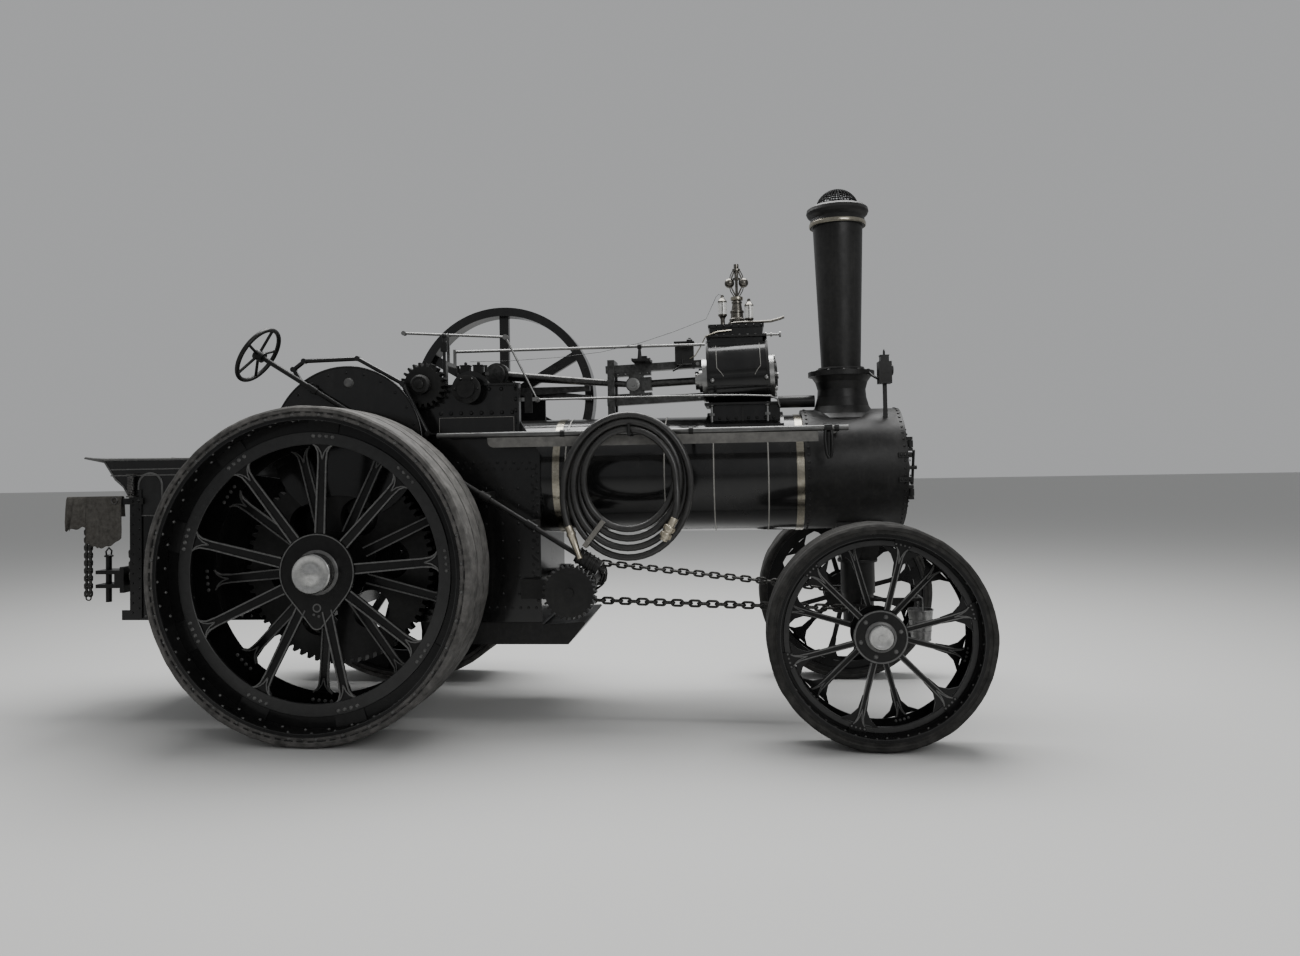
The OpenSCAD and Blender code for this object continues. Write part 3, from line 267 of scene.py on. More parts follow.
pale_brass = coat("worn_brass", (0.4, 0.36, 0.28), (0.55, 0.5, 0.4), 0.3, metal=0.9, grain=90, dents=0.08)
stud([(-0.118, 0.0245), (-0.102, 0.0245), (-0.1, 0.032), (-0.097, 0.034), (-0.069, 0.034), (-0.066, 0.032),
      (-0.065, 0.026), (-0.058, 0.026), (-0.056, 0.033), (-0.053, 0.0345), (-0.025, 0.0345), (-0.022, 0.032),
      (-0.02, 0.0245), (0.03, 0.0235), (0.033, 0.0222)], coupling_top, coupling_up)
for k in range(12):
    turned = about("Y", 29) @ Matrix.Rotation(tau * k / 12, 4, "Z")
    for low in (-0.083, -0.039):
        at = move(coupling_top) @ turned @ move((0.034, 0, low))
        box((0, 0, 0), (0.004, 0.007, 0.022), at)
coupling = put("hose_joint", pale_brass)
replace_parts(coupling, "hose_coupling")
nozzle_along = (hose_line[-1] - hose_line[-2]).normalized()
stud([(-0.04, 0.024), (0.0, 0.024), (0.006, 0.029), (0.02, 0.029), (0.026, 0.025), (0.05, 0.0245), (0.15, 0.016),
      (0.155, 0.019), (0.168, 0.019), (0.172, 0.014), (0.172, 0.009), (0.12, 0.009)], nozzle_start, nozzle_along)
nozzle = put("hose_nozzle", pale_brass)
hose = soft_line("hose_turns", hose_line, HOSE_D / 2, hose_rubber)
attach(hose, "engine")
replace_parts(hose, "hose_coil")
tie_cloth = coat("tie_cloth", (0.1, 0.095, 0.085), (0.22, 0.21, 0.19), 0.9, grain=160, dents=0.6)
inward = move((COIL_X - 0.0125, HOSE_Y, 1.462)) @ about("Y", -142)
for radial, y, deep, wide in (
        (0.2395, 0.0, 0.004, 0.098), (0.4305, 0.0, 0.004, 0.098),
        (0.335, 0.047, 0.191, 0.004), (0.335, -0.047, 0.191, 0.004)):
    box((0, y, radial), (0.03, wide, deep), inward)
put("hose_tie", tie_cloth, smooth=False)


# Wheels: rolled rims with riveted T rings and flat forged spokes between them, all under dark gloss paint.
# Each spoke has a raised bead along both edges and a split foot, and a turned steel cap closes each hub.
REAR_X, FRONT_X = -0.9675, 2.3345
REAR = SimpleNamespace(x=REAR_X, tall=1.0, out=1.023, w=0.426, r=0.932, web=0.77, near=0.083, far=-0.175, plate=0.235,
                       half=0.0345, low=-0.2, high=0.04, cap=0.114, cap_h=0.083, count=9, start=5, rivet=0.0125,
                       bolts=40)
FRONT = SimpleNamespace(x=FRONT_X, tall=0.633, out=0.99, w=0.27, r=0.573, web=0.503, near=0.055, far=-0.105,
                        plate=0.148, half=0.0184, low=-0.12, high=0.09, cap=0.064, cap_h=0.038, count=6, start=15,
                        rivet=0.0085, bolts=30)
wheel_paint = coat("wheel_paint", (0.0035, 0.0035, 0.0036), (0.008, 0.008, 0.008), 0.32, grain=30, dents=0.06,
                   dust=0.025, gloss=0.12, spec=0.18)
# A lighter grey copy of the black paint: painted highlight on the raised beads, rivets, bolts and plates, with real
# dust on what faces up.
highlight_grey_paint = coat("highlight_grey_paint", (0.055, 0.055, 0.055), (0.115, 0.115, 0.112), 0.32, grain=50, dents=0.1, dust=0.2)
cap_steel = coat("turned_steel", (0.36, 0.36, 0.355), (0.5, 0.5, 0.49), 0.27, metal=1.0, grain=45, dents=0.06,
                 dust=0.08)
dull_black = coat("dull_black", (0.004, 0.004, 0.004), (0.008, 0.008, 0.008), 0.7, grain=50)


def bar_along(outline, thick, place):
    """A flat forging: a closed outline in X and Y, raised to its thickness and set in its place."""
    verts = [bm.verts.new((x, y, 0)) for x, y in outline]
    raised = bmesh.ops.extrude_face_region(bm, geom=[bm.faces.new(verts)])["geom"]
    top = [v for v in raised if isinstance(v, bmesh.types.BMVert)]
    bmesh.ops.translate(bm, verts=top, vec=(0, 0, thick))
    bmesh.ops.transform(bm, matrix=place, verts=verts + top)


def bead_along(line, width, thick, place):
    """A raised bead of even width along a line of points in X and Y."""
    left, other = [], []
    for i, (x, y) in enumerate(line):
        ax, ay = line[max(i - 1, 0)]
        bx, by = line[min(i + 1, len(line) - 1)]
        run = hypot(bx - ax, by - ay)
        nx, ny = -(by - ay) / run * width / 2, (bx - ax) / run * width / 2
        left.append((x + nx, y + ny))
        other.append((x - nx, y - ny))
    bar_along(left + other[::-1], thick, place)


def heads(places, radius, place=Matrix.Identity(4), sides=8):
    """Low domed rivet or bolt heads at (point, direction) pairs."""
    for where, out in places:
        turned = Vector(out).to_track_quat("Z", "Y").to_matrix().to_4x4()
        at = place @ move(where) @ turned @ move((0, 0, radius * 0.3))
        bmesh.ops.create_cone(bm, cap_ends=True, segments=sides, radius1=radius, radius2=radius * 0.55,
                              depth=radius * 0.64, matrix=at)


def circle(count, radius):
    """Pairs of coordinates evenly round a circle about nought."""
    return [(radius * cos(tau * i / count), radius * sin(tau * i / count)) for i in range(count)]


def round_the(count, radius, height, start=0.0, inward=False):
    """Places and directions of heads spaced evenly round a wheel's axis."""
    turns = [radians(start) + tau * i / count for i in range(count)]
    return [((radius * cos(a), radius * sin(a), height), (-cos(a), -sin(a), 0) if inward else UP) for a in turns]


def nut(where, radius, depth, sides=6):
    """A nut or a plain round that lies flat."""
    bmesh.ops.create_cone(bm, cap_ends=True, segments=sides, radius1=radius, radius2=radius, depth=depth,
                          matrix=move(where))


def dress_wheel(name, spec, side):
    """Beads, rivets, bolts, ring bands and cap of one wheel, on top of its packed iron."""
    place = move((spec.x, side * (spec.out - spec.w / 2), spec.tall)) @ about("X", -90 * side)
    r, half, web, high, low = spec.r, spec.half, spec.web, spec.high, spec.low
    near, far, foot, inner = spec.near, spec.far, r - web, r - 0.016
    large = spec is REAR
    a, b = spec.plate * 0.6, r - 0.012
    rivets, gussets = [], []
    thick = 0.0085 if large else 0.006
    for tier, za, zb in ((0, high - 0.027, near + 0.005), (1, low + 0.031, far - 0.017)):
        slope = atan2(zb - za, b - a)
        run = (b - a) / cos(slope)
        for i in range(spec.count):
            turn = radians(spec.start + (i + tier / 2) * 360 / spec.count)
            seat = place @ Matrix.Rotation(turn, 4, "Z") @ move((a, 0, za)) @ Matrix.Rotation(-slope, 4, "Y")
            seat = seat @ move((0, 0, 0.012))
            reach = run - foot
            if not large:
                gussets.append((seat, reach))
            for s in (-1, 1):
                edge = half - thick / 2
                bead_along([(spec.plate - a + 0.004, s * (edge - 0.002)), (reach - 0.09, s * edge * 0.8),
                            (reach - 0.03, s * edge * 0.95), (reach + 0.002, s * edge * 1.5),
                            (reach + 0.016, s * edge * 2.1)], thick, thick, seat)
                bead_along([(reach - 0.075, 0.0), (reach - 0.035, s * half * 0.3), (reach - 0.01, s * half * 0.75),
                            (reach + 0.006, s * half * 1.25)], thick * 0.8, thick * 0.8, seat)
            level_z = near + 0.014 if tier == 0 else far + 0.006
            for k in range(4):
                at = turn + (k - 1.5) * (0.04 if large else 0.026) / (web + 0.05)
                radius = web + (0.052 if large else 0.02)
                rivets.append(((radius * cos(at), radius * sin(at), level_z), UP))
    # The spoke beads take the lighter grey, a painted highlight along their edges.
    put(name + "_beads", highlight_grey_paint, name)
    if gussets:
        for seat, reach in gussets:
            edge = [(reach - 0.15, half), (reach - 0.075, half * 1.35), (reach - 0.03, half * 2.9),
                    (reach + 0.004, 0.108)]
            bar_along(edge + [(x, -y) for x, y in edge[::-1]], 0.0105, seat @ move((0, 0, -0.0112)))
        put(name + "_gussets", wheel_paint, name, angle=30)
    wide = 0.076 if large else 0.034
    band([(near + 0.005, web), (near + 0.011, web), (near + 0.014, web + 0.003), (near + 0.014, web + wide - 0.003),
          (near + 0.011, web + wide), (near + 0.005, web + wide)], steps=96)
    half_w = spec.w / 2
    band([(half_w - 0.012, inner - 0.004), (half_w - 0.0005, inner - 0.004), (half_w - 0.0005, inner - 0.0002),
          (half_w - 0.012, inner - 0.0002)], steps=96)
    put(name + "_ring_bands", band_paint, name, place=place)
    heads(rivets, spec.rivet, place)
    for height, start in ((half_w - 0.024, 2), (near + 0.032, 2 + 180 / spec.bolts), (far + 0.03, 2)):
        heads(round_the(spec.bolts, inner - 0.0005, height, start, True), spec.rivet * 0.8, place)
    # The rivets and bolts take the same lighter grey, a painted highlight.
    put(name + "_rivets", highlight_grey_paint, name)
    cap, top = spec.cap, high + spec.cap_h
    stud([(high + 0.0005, cap + 0.002), (top - 0.024, cap + 0.002), (top - 0.02, cap + 0.005),
          (top - 0.003, cap + 0.005), (top + 0.003, cap - 0.001), (top + 0.003, cap - 0.014),
          (top + 0.0012, cap - 0.018), (top + 0.0012, cap * 0.3), (top + 0.003, cap * 0.28)], steps=48)
    put(name + "_hub_cap", cap_steel, name, place=place)
    if large:
        # A flat dull black disc on the hub plate stands in for the oil hole: painted shade, not a hole.
        nut((0, side * 0.212, high + 0.0012), 0.0185, 0.002, 20)
        put(name + "_oil_hole_painted_shade", dull_black, name, place=place)
    band([(high + 0.0005, cap + 0.003), (high + 0.012, cap + 0.003), (high + 0.012, cap + 0.012),
          (high + 0.004, cap + 0.022), (high + 0.0005, cap + 0.022)], steps=48)
    plate = spec.plate
    if large:
        line = [((plate - 0.006) * cos(t), (plate - 0.006) * sin(t))
                for t in [radians(side * (90 + 51.5 + k * (257 / 40))) for k in range(41)]]
        tip = [(0.045 * cos(t), side * 0.294 + 0.045 * sin(t))
               for t in [radians(side * (90 - 38.5 + k * 77 / 8)) for k in range(9)]]
        bead_along(line + tip + line[:1], 0.007, 0.005, move((0, 0, high)))
        band([(high, 0.018), (high + 0.004, 0.019), (high + 0.004, 0.026), (high, 0.027)], (0, side * 0.212, 0), UP, 20)
        heads([((0.012, side * 0.262, high), UP), ((-0.02, side * 0.252, high), UP)], 0.009)
    else:
        band([(high, plate - 0.01), (high + 0.004, plate - 0.008), (high + 0.004, plate - 0.001),
              (high, plate - 0.0005)], steps=48)
        heads(round_the(6, 0.114, high, 15), 0.013, sides=10)
    # The hub plate's bead, ring and bolts take the lighter grey too, as painted highlight.
    put(name + "_hub_plate", highlight_grey_paint, name, place=place)
    return place


dress(wheel_paint, "rear_wheel_right", "rear_wheel_left", "front_wheel_right", "front_wheel_left")
band_paint = coat("ring_band_paint", (0.0055, 0.0055, 0.0055), (0.013, 0.013, 0.013), 0.34, grain=30, dents=0.08,
                  dust=0.03)
wheel_at = {name: dress_wheel(name, spec, side) for name, spec, side in (
    ("rear_wheel_right", REAR, -1), ("rear_wheel_left", REAR, 1),
    ("front_wheel_right", FRONT, -1), ("front_wheel_left", FRONT, 1))}


# Tyres: solid rubber blocks bolted round the rims, worn and dusty, with chipped edges and run-round grooves.
# The rear ones carry dome-headed bolts on their sides.
tyre_rubber = coat("tyre_rubber", (0.034, 0.033, 0.0315), (0.115, 0.11, 0.105), 0.85, grain=16, dents=0.9, dust=0.25,
                   spec=0.3)
front_rubber = coat("front_tyre_rubber", (0.009, 0.009, 0.0087), (0.034, 0.033, 0.031), 0.8, grain=18, dents=0.9,
                    dust=0.09, spec=0.25)


def tyre(wheel, spec, grooves, deep, rubber):
    """A worn tyre: a turned section with grooves, roughened by noise near its tread."""
    half, low, top = spec.w / 2, spec.r + 0.0004, spec.tall
    wall = half - (0.0075 if spec is REAR else 0.002)
    edge = [(wall, low), (wall, top - 0.05), (wall - 0.004, top - 0.046), (wall - 0.004, top - 0.038),
            (half, top - 0.033), (half - 0.002, top - 0.014), (half - 0.012, top - 0.003), (half - 0.03, top)]
    tread = []
    for g in grooves:
        tread += [(g + 0.008, top), (g + 0.004, top - deep), (g - 0.004, top - deep), (g - 0.008, top)]
    profile = edge + tread + [(-z, q) for z, q in edge[::-1]] + [(wall, low)]
    lathe(profile, steps=180)
    bmesh.ops.remove_doubles(bm, verts=bm.verts, dist=1e-5)
    for v in bm.verts:
        far = hypot(v.co.x, v.co.y)
        if far > top - 0.05:
            rough = min(noise.fractal(v.co * 9, 0.8, 2.0, 4) * 0.0028 - 0.0026, 0.0)
            v.co.x *= 1 + rough / far
            v.co.y *= 1 + rough / far
            v.co.z *= 1 - abs(noise.noise(v.co * 14)) * 0.012
    name = wheel.replace("wheel", "tyre")
    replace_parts(put(name + "_rubber", rubber, wheel, angle=35, place=wheel_at[wheel]), name)


for end_side in ("right", "left"):
    rear_wheel = "rear_wheel_" + end_side
    tyre(rear_wheel, REAR, (0.07, -0.07), 0.01, tyre_rubber)
    tyre("front_wheel_" + end_side, FRONT, (0.065, 0.0, -0.065), 0.007, front_rubber)
    for radius, start, size in ((0.944, 4, 0.011), (0.941, 9, 0.006)):
        heads(round_the(36, radius, REAR.w / 2 - 0.0078, start), size, wheel_at[rear_wheel])
    # The tyre bolts are lighter grey than the wheel's paint: painted highlight.
    put("rear_tyre_bolts_" + end_side, highlight_grey_paint, rear_wheel)
    # Dull black boxes standing proud of the tyre's side stand in for its slots: painted shade of recesses.
    for i in range(90):
        a = tau * i / 90
        at = wheel_at[rear_wheel] @ Matrix.Rotation(a, 4, "Z") @ move((0.9575, 0, REAR.w / 2 - 0.0105))
        box((0, 0, 0), (0.006, 0.034 if i % 3 else 0.05, 0.008), at)
    put("rear_tyre_slot_shade_" + end_side, dull_black, rear_wheel, smooth=False)


# Boiler, firebox and side plates: rolled and flanged steel plate under gloss black paint, closed with rivets.
# The lagging is held by two bright bands and carries thin lining, and an arched guard covers the gears.
black_paint = coat("black_gloss_paint", (0.0038, 0.0038, 0.004), (0.0078, 0.0078, 0.0078), 0.22, grain=26, dents=0.05,
                   dust=0.03, streak=0.05, gloss=0.45, spec=0.2)
dress(black_paint, "boiler_barrel", "firebox", "tender", "gear_guard", "hornplate_right", "hornplate_left",
      "cylinder_block", "flywheel", "handrail")
brass = coat("polished_brass", (0.25, 0.23, 0.185), (0.38, 0.355, 0.295), 0.22, metal=1.0, grain=60, dents=0.01,
             dust=0.06)
dress(brass, "boiler_bands")
lining = coat("pale_lining", (0.2, 0.195, 0.18), (0.3, 0.29, 0.27), 0.4, grain=60, dents=0.02)
BARREL_R, BARREL_Z, HORN_Y, GUARD_Y = 0.38, 1.543, -0.394, -0.551
RIVET, BOLT = 0.0095, 0.0145


def row(start, end, count, out=RIGHT):
    """Evenly spaced heads from one point to another."""
    a, b = Vector(start), Vector(end)
    return [(a.lerp(b, i / (count - 1)), out) for i in range(count)]


def girdle(x, centre_z, radius, count):
    """Heads round a barrel that lies along X."""
    outs = [Vector((0, y, z)) for y, z in circle(count, 1)]
    return [(Vector((x, 0, centre_z)) + out * radius, out) for out in outs]


for x in (1.4125, 1.7555, 0.464, 1.1):
    collar(BARREL_R + 0.0002, BARREL_R + 0.0022, 0.004, (x, 0, BARREL_Z), AHEAD, 96)
put("lagging_lines", lining)
for k in range(7):
    heads([(Vector((-0.47 + i * 0.105, HORN_Y, 0.8 + k * 0.112)), RIGHT) for i in range(8)], RIVET)
for x0, z0, x1, z1, count, size in (
        (-0.5, 0.712, 0.27, 0.712, 16, RIVET), (-0.47, 1.6, 0.27, 1.6, 15, RIVET),
        (0.283, 0.76, 0.283, 1.62, 18, RIVET), (0.255, 0.785, 0.255, 1.6, 17, RIVET),
        (-0.5, 1.64, 0.24, 1.64, 15, RIVET), (-0.34, 1.963, 0.13, 1.963, 8, BOLT),
        (0.155, 1.83, 0.155, 2.12, 5, BOLT), (-0.1, 2.115, -0.02, 2.115, 2, BOLT),
        (0.06, 2.115, 0.155, 2.115, 2, BOLT), (-0.62, 0.9, -0.62, 1.6, 9, BOLT), (-0.85, 1.6, -0.62, 1.6, 4, BOLT)):
    heads(row((x0, HORN_Y, z0), (x1, HORN_Y, z1), count), size)
heads(row((-0.48, -HORN_Y, 0.712), (0.27, -HORN_Y, 0.712), 14, LEFT), RIVET)
heads(row((0.27, -HORN_Y, 0.76), (0.27, -HORN_Y, 1.66), 16, LEFT), RIVET)
put("plate_rivets", black_paint)
bar_along([(-0.36, 1.822), (0.152, 1.822), (0.152, 1.944), (-0.36, 1.944)], 0.006,
          move((0, HORN_Y, 0)) @ about("X", 90))
box((0.1775, HORN_Y - 0.02, 1.95), (0.012, 0.04, 0.39))
box((0.0, HORN_Y - 0.012, 2.144), (0.34, 0.024, 0.012))
put("side_panel", black_paint, smooth=False)
for z in (1.832, 1.934):
    box((-0.104, HORN_Y - 0.0065, z), (0.49, 0.001, 0.0025))
for x in (-0.349, 0.141):
    box((x, HORN_Y - 0.0065, 1.883), (0.0025, 0.001, 0.1045))
put("panel_lining", lining, smooth=False)
guard_centre = Vector((-0.9065, GUARD_Y + 0.003, 1.775))


def pipe(points, radius, sides=10, looped=False):
    """A round rod or pipe swept along points, closed at both ends or joined into a loop."""
    points = [Vector(p) for p in points]
    ring_before, last = None, len(points) - 1
    side = (points[1] - points[0]).orthogonal().normalized()
    for i, p in enumerate(points):
        run = (points[(i + 1) % (last + 1) if looped else min(i + 1, last)]
               - points[i - 1 if looped else max(i - 1, 0)]).normalized()
        side = (side - run * side.dot(run)).normalized()
        other = run.cross(side)
        ring_now = [bm.verts.new(p + (side * cos(tau * k / sides) + other * sin(tau * k / sides)) * radius)
                    for k in range(sides)]
        edges = [bm.edges.new((ring_now[k], ring_now[(k + 1) % sides])) for k in range(sides)]
        if ring_before is None:
            first_edges = edges
            if not looped:
                bm.faces.new(ring_now[::-1])
        else:
            bmesh.ops.bridge_loops(bm, edges=edges_before + edges)
        ring_before, edges_before = ring_now, edges
    if looped:
        bmesh.ops.bridge_loops(bm, edges=edges_before + first_edges)
    else:
        bm.faces.new(ring_before)


turns = [radians(-14 + 208 * i / 64) for i in range(65)]
pipe([guard_centre + Vector((0.492 * cos(a), 0, 0.492 * sin(a))) for a in turns], 0.007)
turns = [radians(a) for a in range(0, 181, 15)]
heads([(guard_centre + Vector((0.455 * cos(a), -0.003, 0.455 * sin(a))), RIGHT) for a in turns], 0.01)
put("guard_edge", black_paint)
bmesh.ops.create_cone(bm, cap_ends=True, segments=24, radius1=0.034, radius2=0.026, depth=0.016,
                      matrix=move((-0.8895, GUARD_Y - 0.006, 2.165)) @ about("X", 90))
# The boss is lighter grey than the guard: painted highlight.
put("guard_boss", highlight_grey_paint)


# Smokebox and chimney: satin heat-proof paint, riveted at both ends, with a rolled black lip on the chimney.
# A bright band sits below the lip, and a pierced dome stops the sparks.
heat_paint = coat("smokebox_paint", (0.0062, 0.0062, 0.0062), (0.0135, 0.0132, 0.013), 0.42, grain=34, dents=0.12,
                  dust=0.06, streak=0.09, spec=0.25)
dress(heat_paint, "smokebox", "smokebox_door", "chimney_base", "chimney_barrel", "chimney_cap", "exhaust_pipe",
      "ashpan", "fire_door", "perch_bracket", "front_axle")
SMOKE_R, SMOKE_Z = 0.392, 1.56
for x in (2.006, 2.592):
    heads(girdle(x, SMOKE_Z, 0.3915, 52), RIVET)
heads([((2.6127, y, SMOKE_Z + z), AHEAD) for y, z in circle(36, 0.372)], 0.0085)
chimney = Vector((2.2585, 0, 0))
heads([(chimney + Vector((x, y, 2.2)), UP) for x, y in circle(12, 0.19)], 0.014, sides=6)
put("smokebox_rivets", heat_paint)
band([(3.166, 0.1805), (3.166, 0.1845), (3.172, 0.187), (3.186, 0.187), (3.192, 0.185), (3.192, 0.1805)], chimney, UP,
     64)
put("chimney_band", brass)
band([(2.2002, 0.1515), (2.214, 0.1515), (2.214, 0.1535), (2.226, 0.15), (2.226, 0.13), (2.2002, 0.13)], chimney, UP,
     64)
put("chimney_seat", heat_paint)
bmesh.ops.create_uvsphere(bm, u_segments=30, v_segments=22, radius=0.1405, matrix=move(chimney + Vector((0, 0, 3.274))))
bmesh.ops.delete(bm, geom=[v for v in bm.verts if v.co.z < 3.2995], context="VERTS")
mesh_dome = put("pierced_dome", dull_black, smooth=False)
wires = mesh_dome.modifiers.new("wires", "WIREFRAME")
wires.thickness = 0.0085
wires.use_even_offset = False
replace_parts(mesh_dome, "spark_arrestor")
band([(3.2985, 0.15), (3.308, 0.15), (3.308, 0.136), (3.2985, 0.136)], chimney, UP, 48)
lathe([(3.411, 0.0), (3.411, 0.024), (3.417, 0.02), (3.4185, 0.0)], chimney, UP, 20)
put("dome_ring", heat_paint)


# Motion work: dark oiled steel forgings and brighter rods, with the cylinder's painted lagging sheet over its casting.
# The sheet is lined, and domed bolts hold it; oil boxes, cups, cocks and thin pipes are screwed on.
dark_iron = coat("dark_iron_paint", (0.004, 0.004, 0.004), (0.011, 0.011, 0.0108), 0.4, grain=34, dents=0.2, dust=0.08,
                 streak=0.04, spec=0.25)
dress(coat("oily_steel", (0.045, 0.045, 0.044), (0.11, 0.11, 0.108), 0.34, metal=1.0, grain=38, dents=0.15, dust=0.03),
      "slide_bars", "crosshead", "connecting_rod", "crankshaft", "valve_gear")
rod_steel = coat("rod_steel", (0.2, 0.2, 0.196), (0.27, 0.27, 0.264), 0.34, metal=1.0, grain=9, dents=0.0)
dress(coat("cover_steel", (0.28, 0.28, 0.274), (0.38, 0.38, 0.372), 0.28, metal=1.0, grain=20, dents=0.01, dust=0.05),
      "cylinder_covers")
dress(coat("rail_steel", (0.1, 0.1, 0.098), (0.16, 0.16, 0.156), 0.38, metal=0.9, grain=14, dents=0.0, dust=0.05),
      "side_rail")
bronze = coat("dark_bronze", (0.085, 0.08, 0.07), (0.2, 0.19, 0.17), 0.27, metal=1.0, grain=60, dents=0.08, dust=0.06)
clouded_glass = coat("clouded_glass", (0.5, 0.5, 0.48), (0.68, 0.68, 0.66), 0.07, grain=30, dents=0.02, gloss=0.8)
dress(dark_iron, "second_shaft", "third_shaft", "final_gear", "rear_axle", "crank_bearings", "drawbar", "tender_arm",
      "steering_wheel", "column_brackets", "chain_barrel", "barrel_bearings", "lamp", "hose_hook")
dress(rod_steel, "control_rods")
dress(bronze, "safety_valves")
dress(clouded_glass, "lubricators")
CRANK_X, CRANK_Z = -0.1445, 2.111
motion = move((CRANK_X, 0, CRANK_Z)) @ about("Y", -2.2)
across = Matrix(((0, 0, 1, 0), (1, 0, 0, 0), (0, 1, 0, 0), (0, 0, 0, 1)))
SHEET_R, SHEET_UP, SHEET_Y = 0.2, 0.048, 0.05


def ball(where, radius, across=14, down=8):
    """A round end or bolt."""
    bmesh.ops.create_uvsphere(bm, u_segments=across, v_segments=down, radius=radius, matrix=move(where))


def section(radius):
    """The lagging's section: two half rounds joined by flats, as points in Y and Z."""
    near = [(-SHEET_Y - radius * sin(pi * k / 24), SHEET_UP + radius * cos(pi * k / 24)) for k in range(25)]
    return near + [(-y, z) for y, z in near[::-1]]


def on_sheet(x, z_up):
    """A point on the near side of the lagging, z_up above the section's middle."""
    a = acos(max(-1.0, min(1.0, z_up / SHEET_R)))
    return motion @ Vector((x, -SHEET_Y - SHEET_R * sin(a), SHEET_UP + z_up))


bar_along(section(SHEET_R), 0.372, motion @ move((1.539, 0, 0)) @ across)
put("cylinder_lagging", black_paint, angle=20)
for x in (1.524, 1.908):
    bar_along(section(SHEET_R + 0.006), 0.018, motion @ move((x, 0, 0)) @ across)
put("lagging_rims", dark_iron, angle=20)
lines = []
for x, inward in ((1.59, 1), (1.872, -1)):
    one = [on_sheet(x, 0.184 - 0.018 * k) for k in range(11)]
    one += [on_sheet(x + inward * 0.046 * sin(pi * k / 12), 0.004 - 0.165 * k / 12) for k in range(1, 13)]
    lines.append(one)
pipe(lines[0] + lines[1][::-1], 0.0022, 6)
pipe([on_sheet(1.59 + 0.282 * k / 8, 0.184) for k in range(9)], 0.0022, 6)
put("cylinder_lining", lining)
for x in (1.556, 1.906):
    ball(on_sheet(x, -0.075), 0.019, 16, 10)
for x in (1.405, 1.7625):
    pipe([(x, -0.233, 1.875), (x, -0.233, 1.985)], 0.0085)
    ball((x, -0.233, 1.988), 0.017)
    nut((x, -0.233, 1.925), 0.019, 0.016)
pipe([(1.432, -0.338, 2.043), (1.6, -0.33, 2.04), (1.78, -0.3, 2.034), (1.825, -0.285, 2.012), (1.838, -0.272, 1.965)],
     0.006)
pipe([(1.735, -0.1, 2.45), (1.862, -0.1, 2.45)], 0.008)
for x, wide in ((1.765, 0.018), (1.8, 0.014), (1.858, 0.019)):
    stud([(-0.006, wide), (0.006, wide)], (x, -0.1, 2.45), AHEAD, 16)
put("cylinder_bright_bolts", rod_steel)
box((1.603, 0, 1.994), (0.49, 0.5, 0.014))
for y in (-0.2185, 0.2185):
    box((1.603, y, 1.885), (0.014, 0.007, 0.19))
box((1.57, 0, 2.44), (0.392, 0.352, 0.012))
for y in (-0.166, 0.166):
    heads(row((1.392, y, 2.446), (1.748, y, 2.446), 8, UP), 0.011, sides=6)
for y, out in ((-0.163, RIGHT), (0.163, LEFT)):
    heads(row((1.395, y, 2.509), (1.735, y, 2.509), 8, out), 0.009, sides=6)
for x in (1.4, 1.64):
    heads(row((x, -0.216, 1.9), (x + 0.16, -0.216, 1.9), 4), 0.011)
heads(row((1.38, -0.242, 1.994), (1.83, -0.242, 1.994), 9), 0.007)
put("cylinder_flanges", dark_iron, smooth=False)


# Oil boxes, cups and the governor: dark bronze and cast iron bodies with bright collars, springs and glasses.
# They stand on the cylinder and the slide bars.
box((1.227, -0.1, 2.34), (0.122, 0.08, 0.14))
box((1.227, -0.1, 2.413), (0.134, 0.092, 0.01))
for x in (1.17, 1.284):
    box((x, -0.085, 2.262), (0.014, 0.09, 0.04))
stud([(0, 0.02), (0.014, 0.02), (0.02, 0.01), (0.026, 0.01)], (1.262, -0.1, 2.418), UP, 16)
band([(0, 0.011), (0, 0.019), (0.008, 0.019), (0.008, 0.011)], (1.237, -0.14, 2.376), RIGHT, 20)
pipe([(1.215, -0.145, 2.3), (1.215, -0.15, 2.262), (1.18, -0.15, 2.238), (1.15, -0.15, 2.222)], 0.006)
box((0.945, -0.12, 2.297), (0.12, 0.2, 0.016))
box((0.945, -0.08, 2.318), (0.06, 0.06, 0.03))
stud([(0, 0.016), (0.02, 0.013), (0.07, 0.009), (0.076, 0.009)], (0.938, -0.2, 2.303), UP, 16)
collar(0.0095, 0.017, 0.013, (0.938, -0.2, 2.385), AHEAD, 20)
for x in (0.885, 1.0):
    heads([((x, -0.05, 2.305), UP), ((x, -0.18, 2.305), UP)], 0.01, sides=6)
put("oil_box", dark_iron, angle=30)
wheel_pin = motion @ Vector((1.0206, -0.044, 0))
stud([(0, 0.044), (0.006, 0.044), (0.008, 0.03), (0.016, 0.03), (0.016, 0.014), (0.026, 0.014)], wheel_pin, RIGHT, 24)
for s in (-1, 1):
    for x in (-0.1, -0.05, 0.05, 0.1):
        heads([(motion @ Vector((1.0206 + x, -0.036, s * 0.072)), RIGHT)], 0.009, sides=6)
for x in (0.86, 1.46):
    for s in (-1, 1):
        stud([(-0.006, 0.013), (0.012, 0.013)], motion @ Vector((x, -0.04, s * 0.111)), RIGHT, 6)
put("crosshead_bolts", rod_steel, angle=30)
CUPS_Y, CUPS_Z = -0.09, 2.52
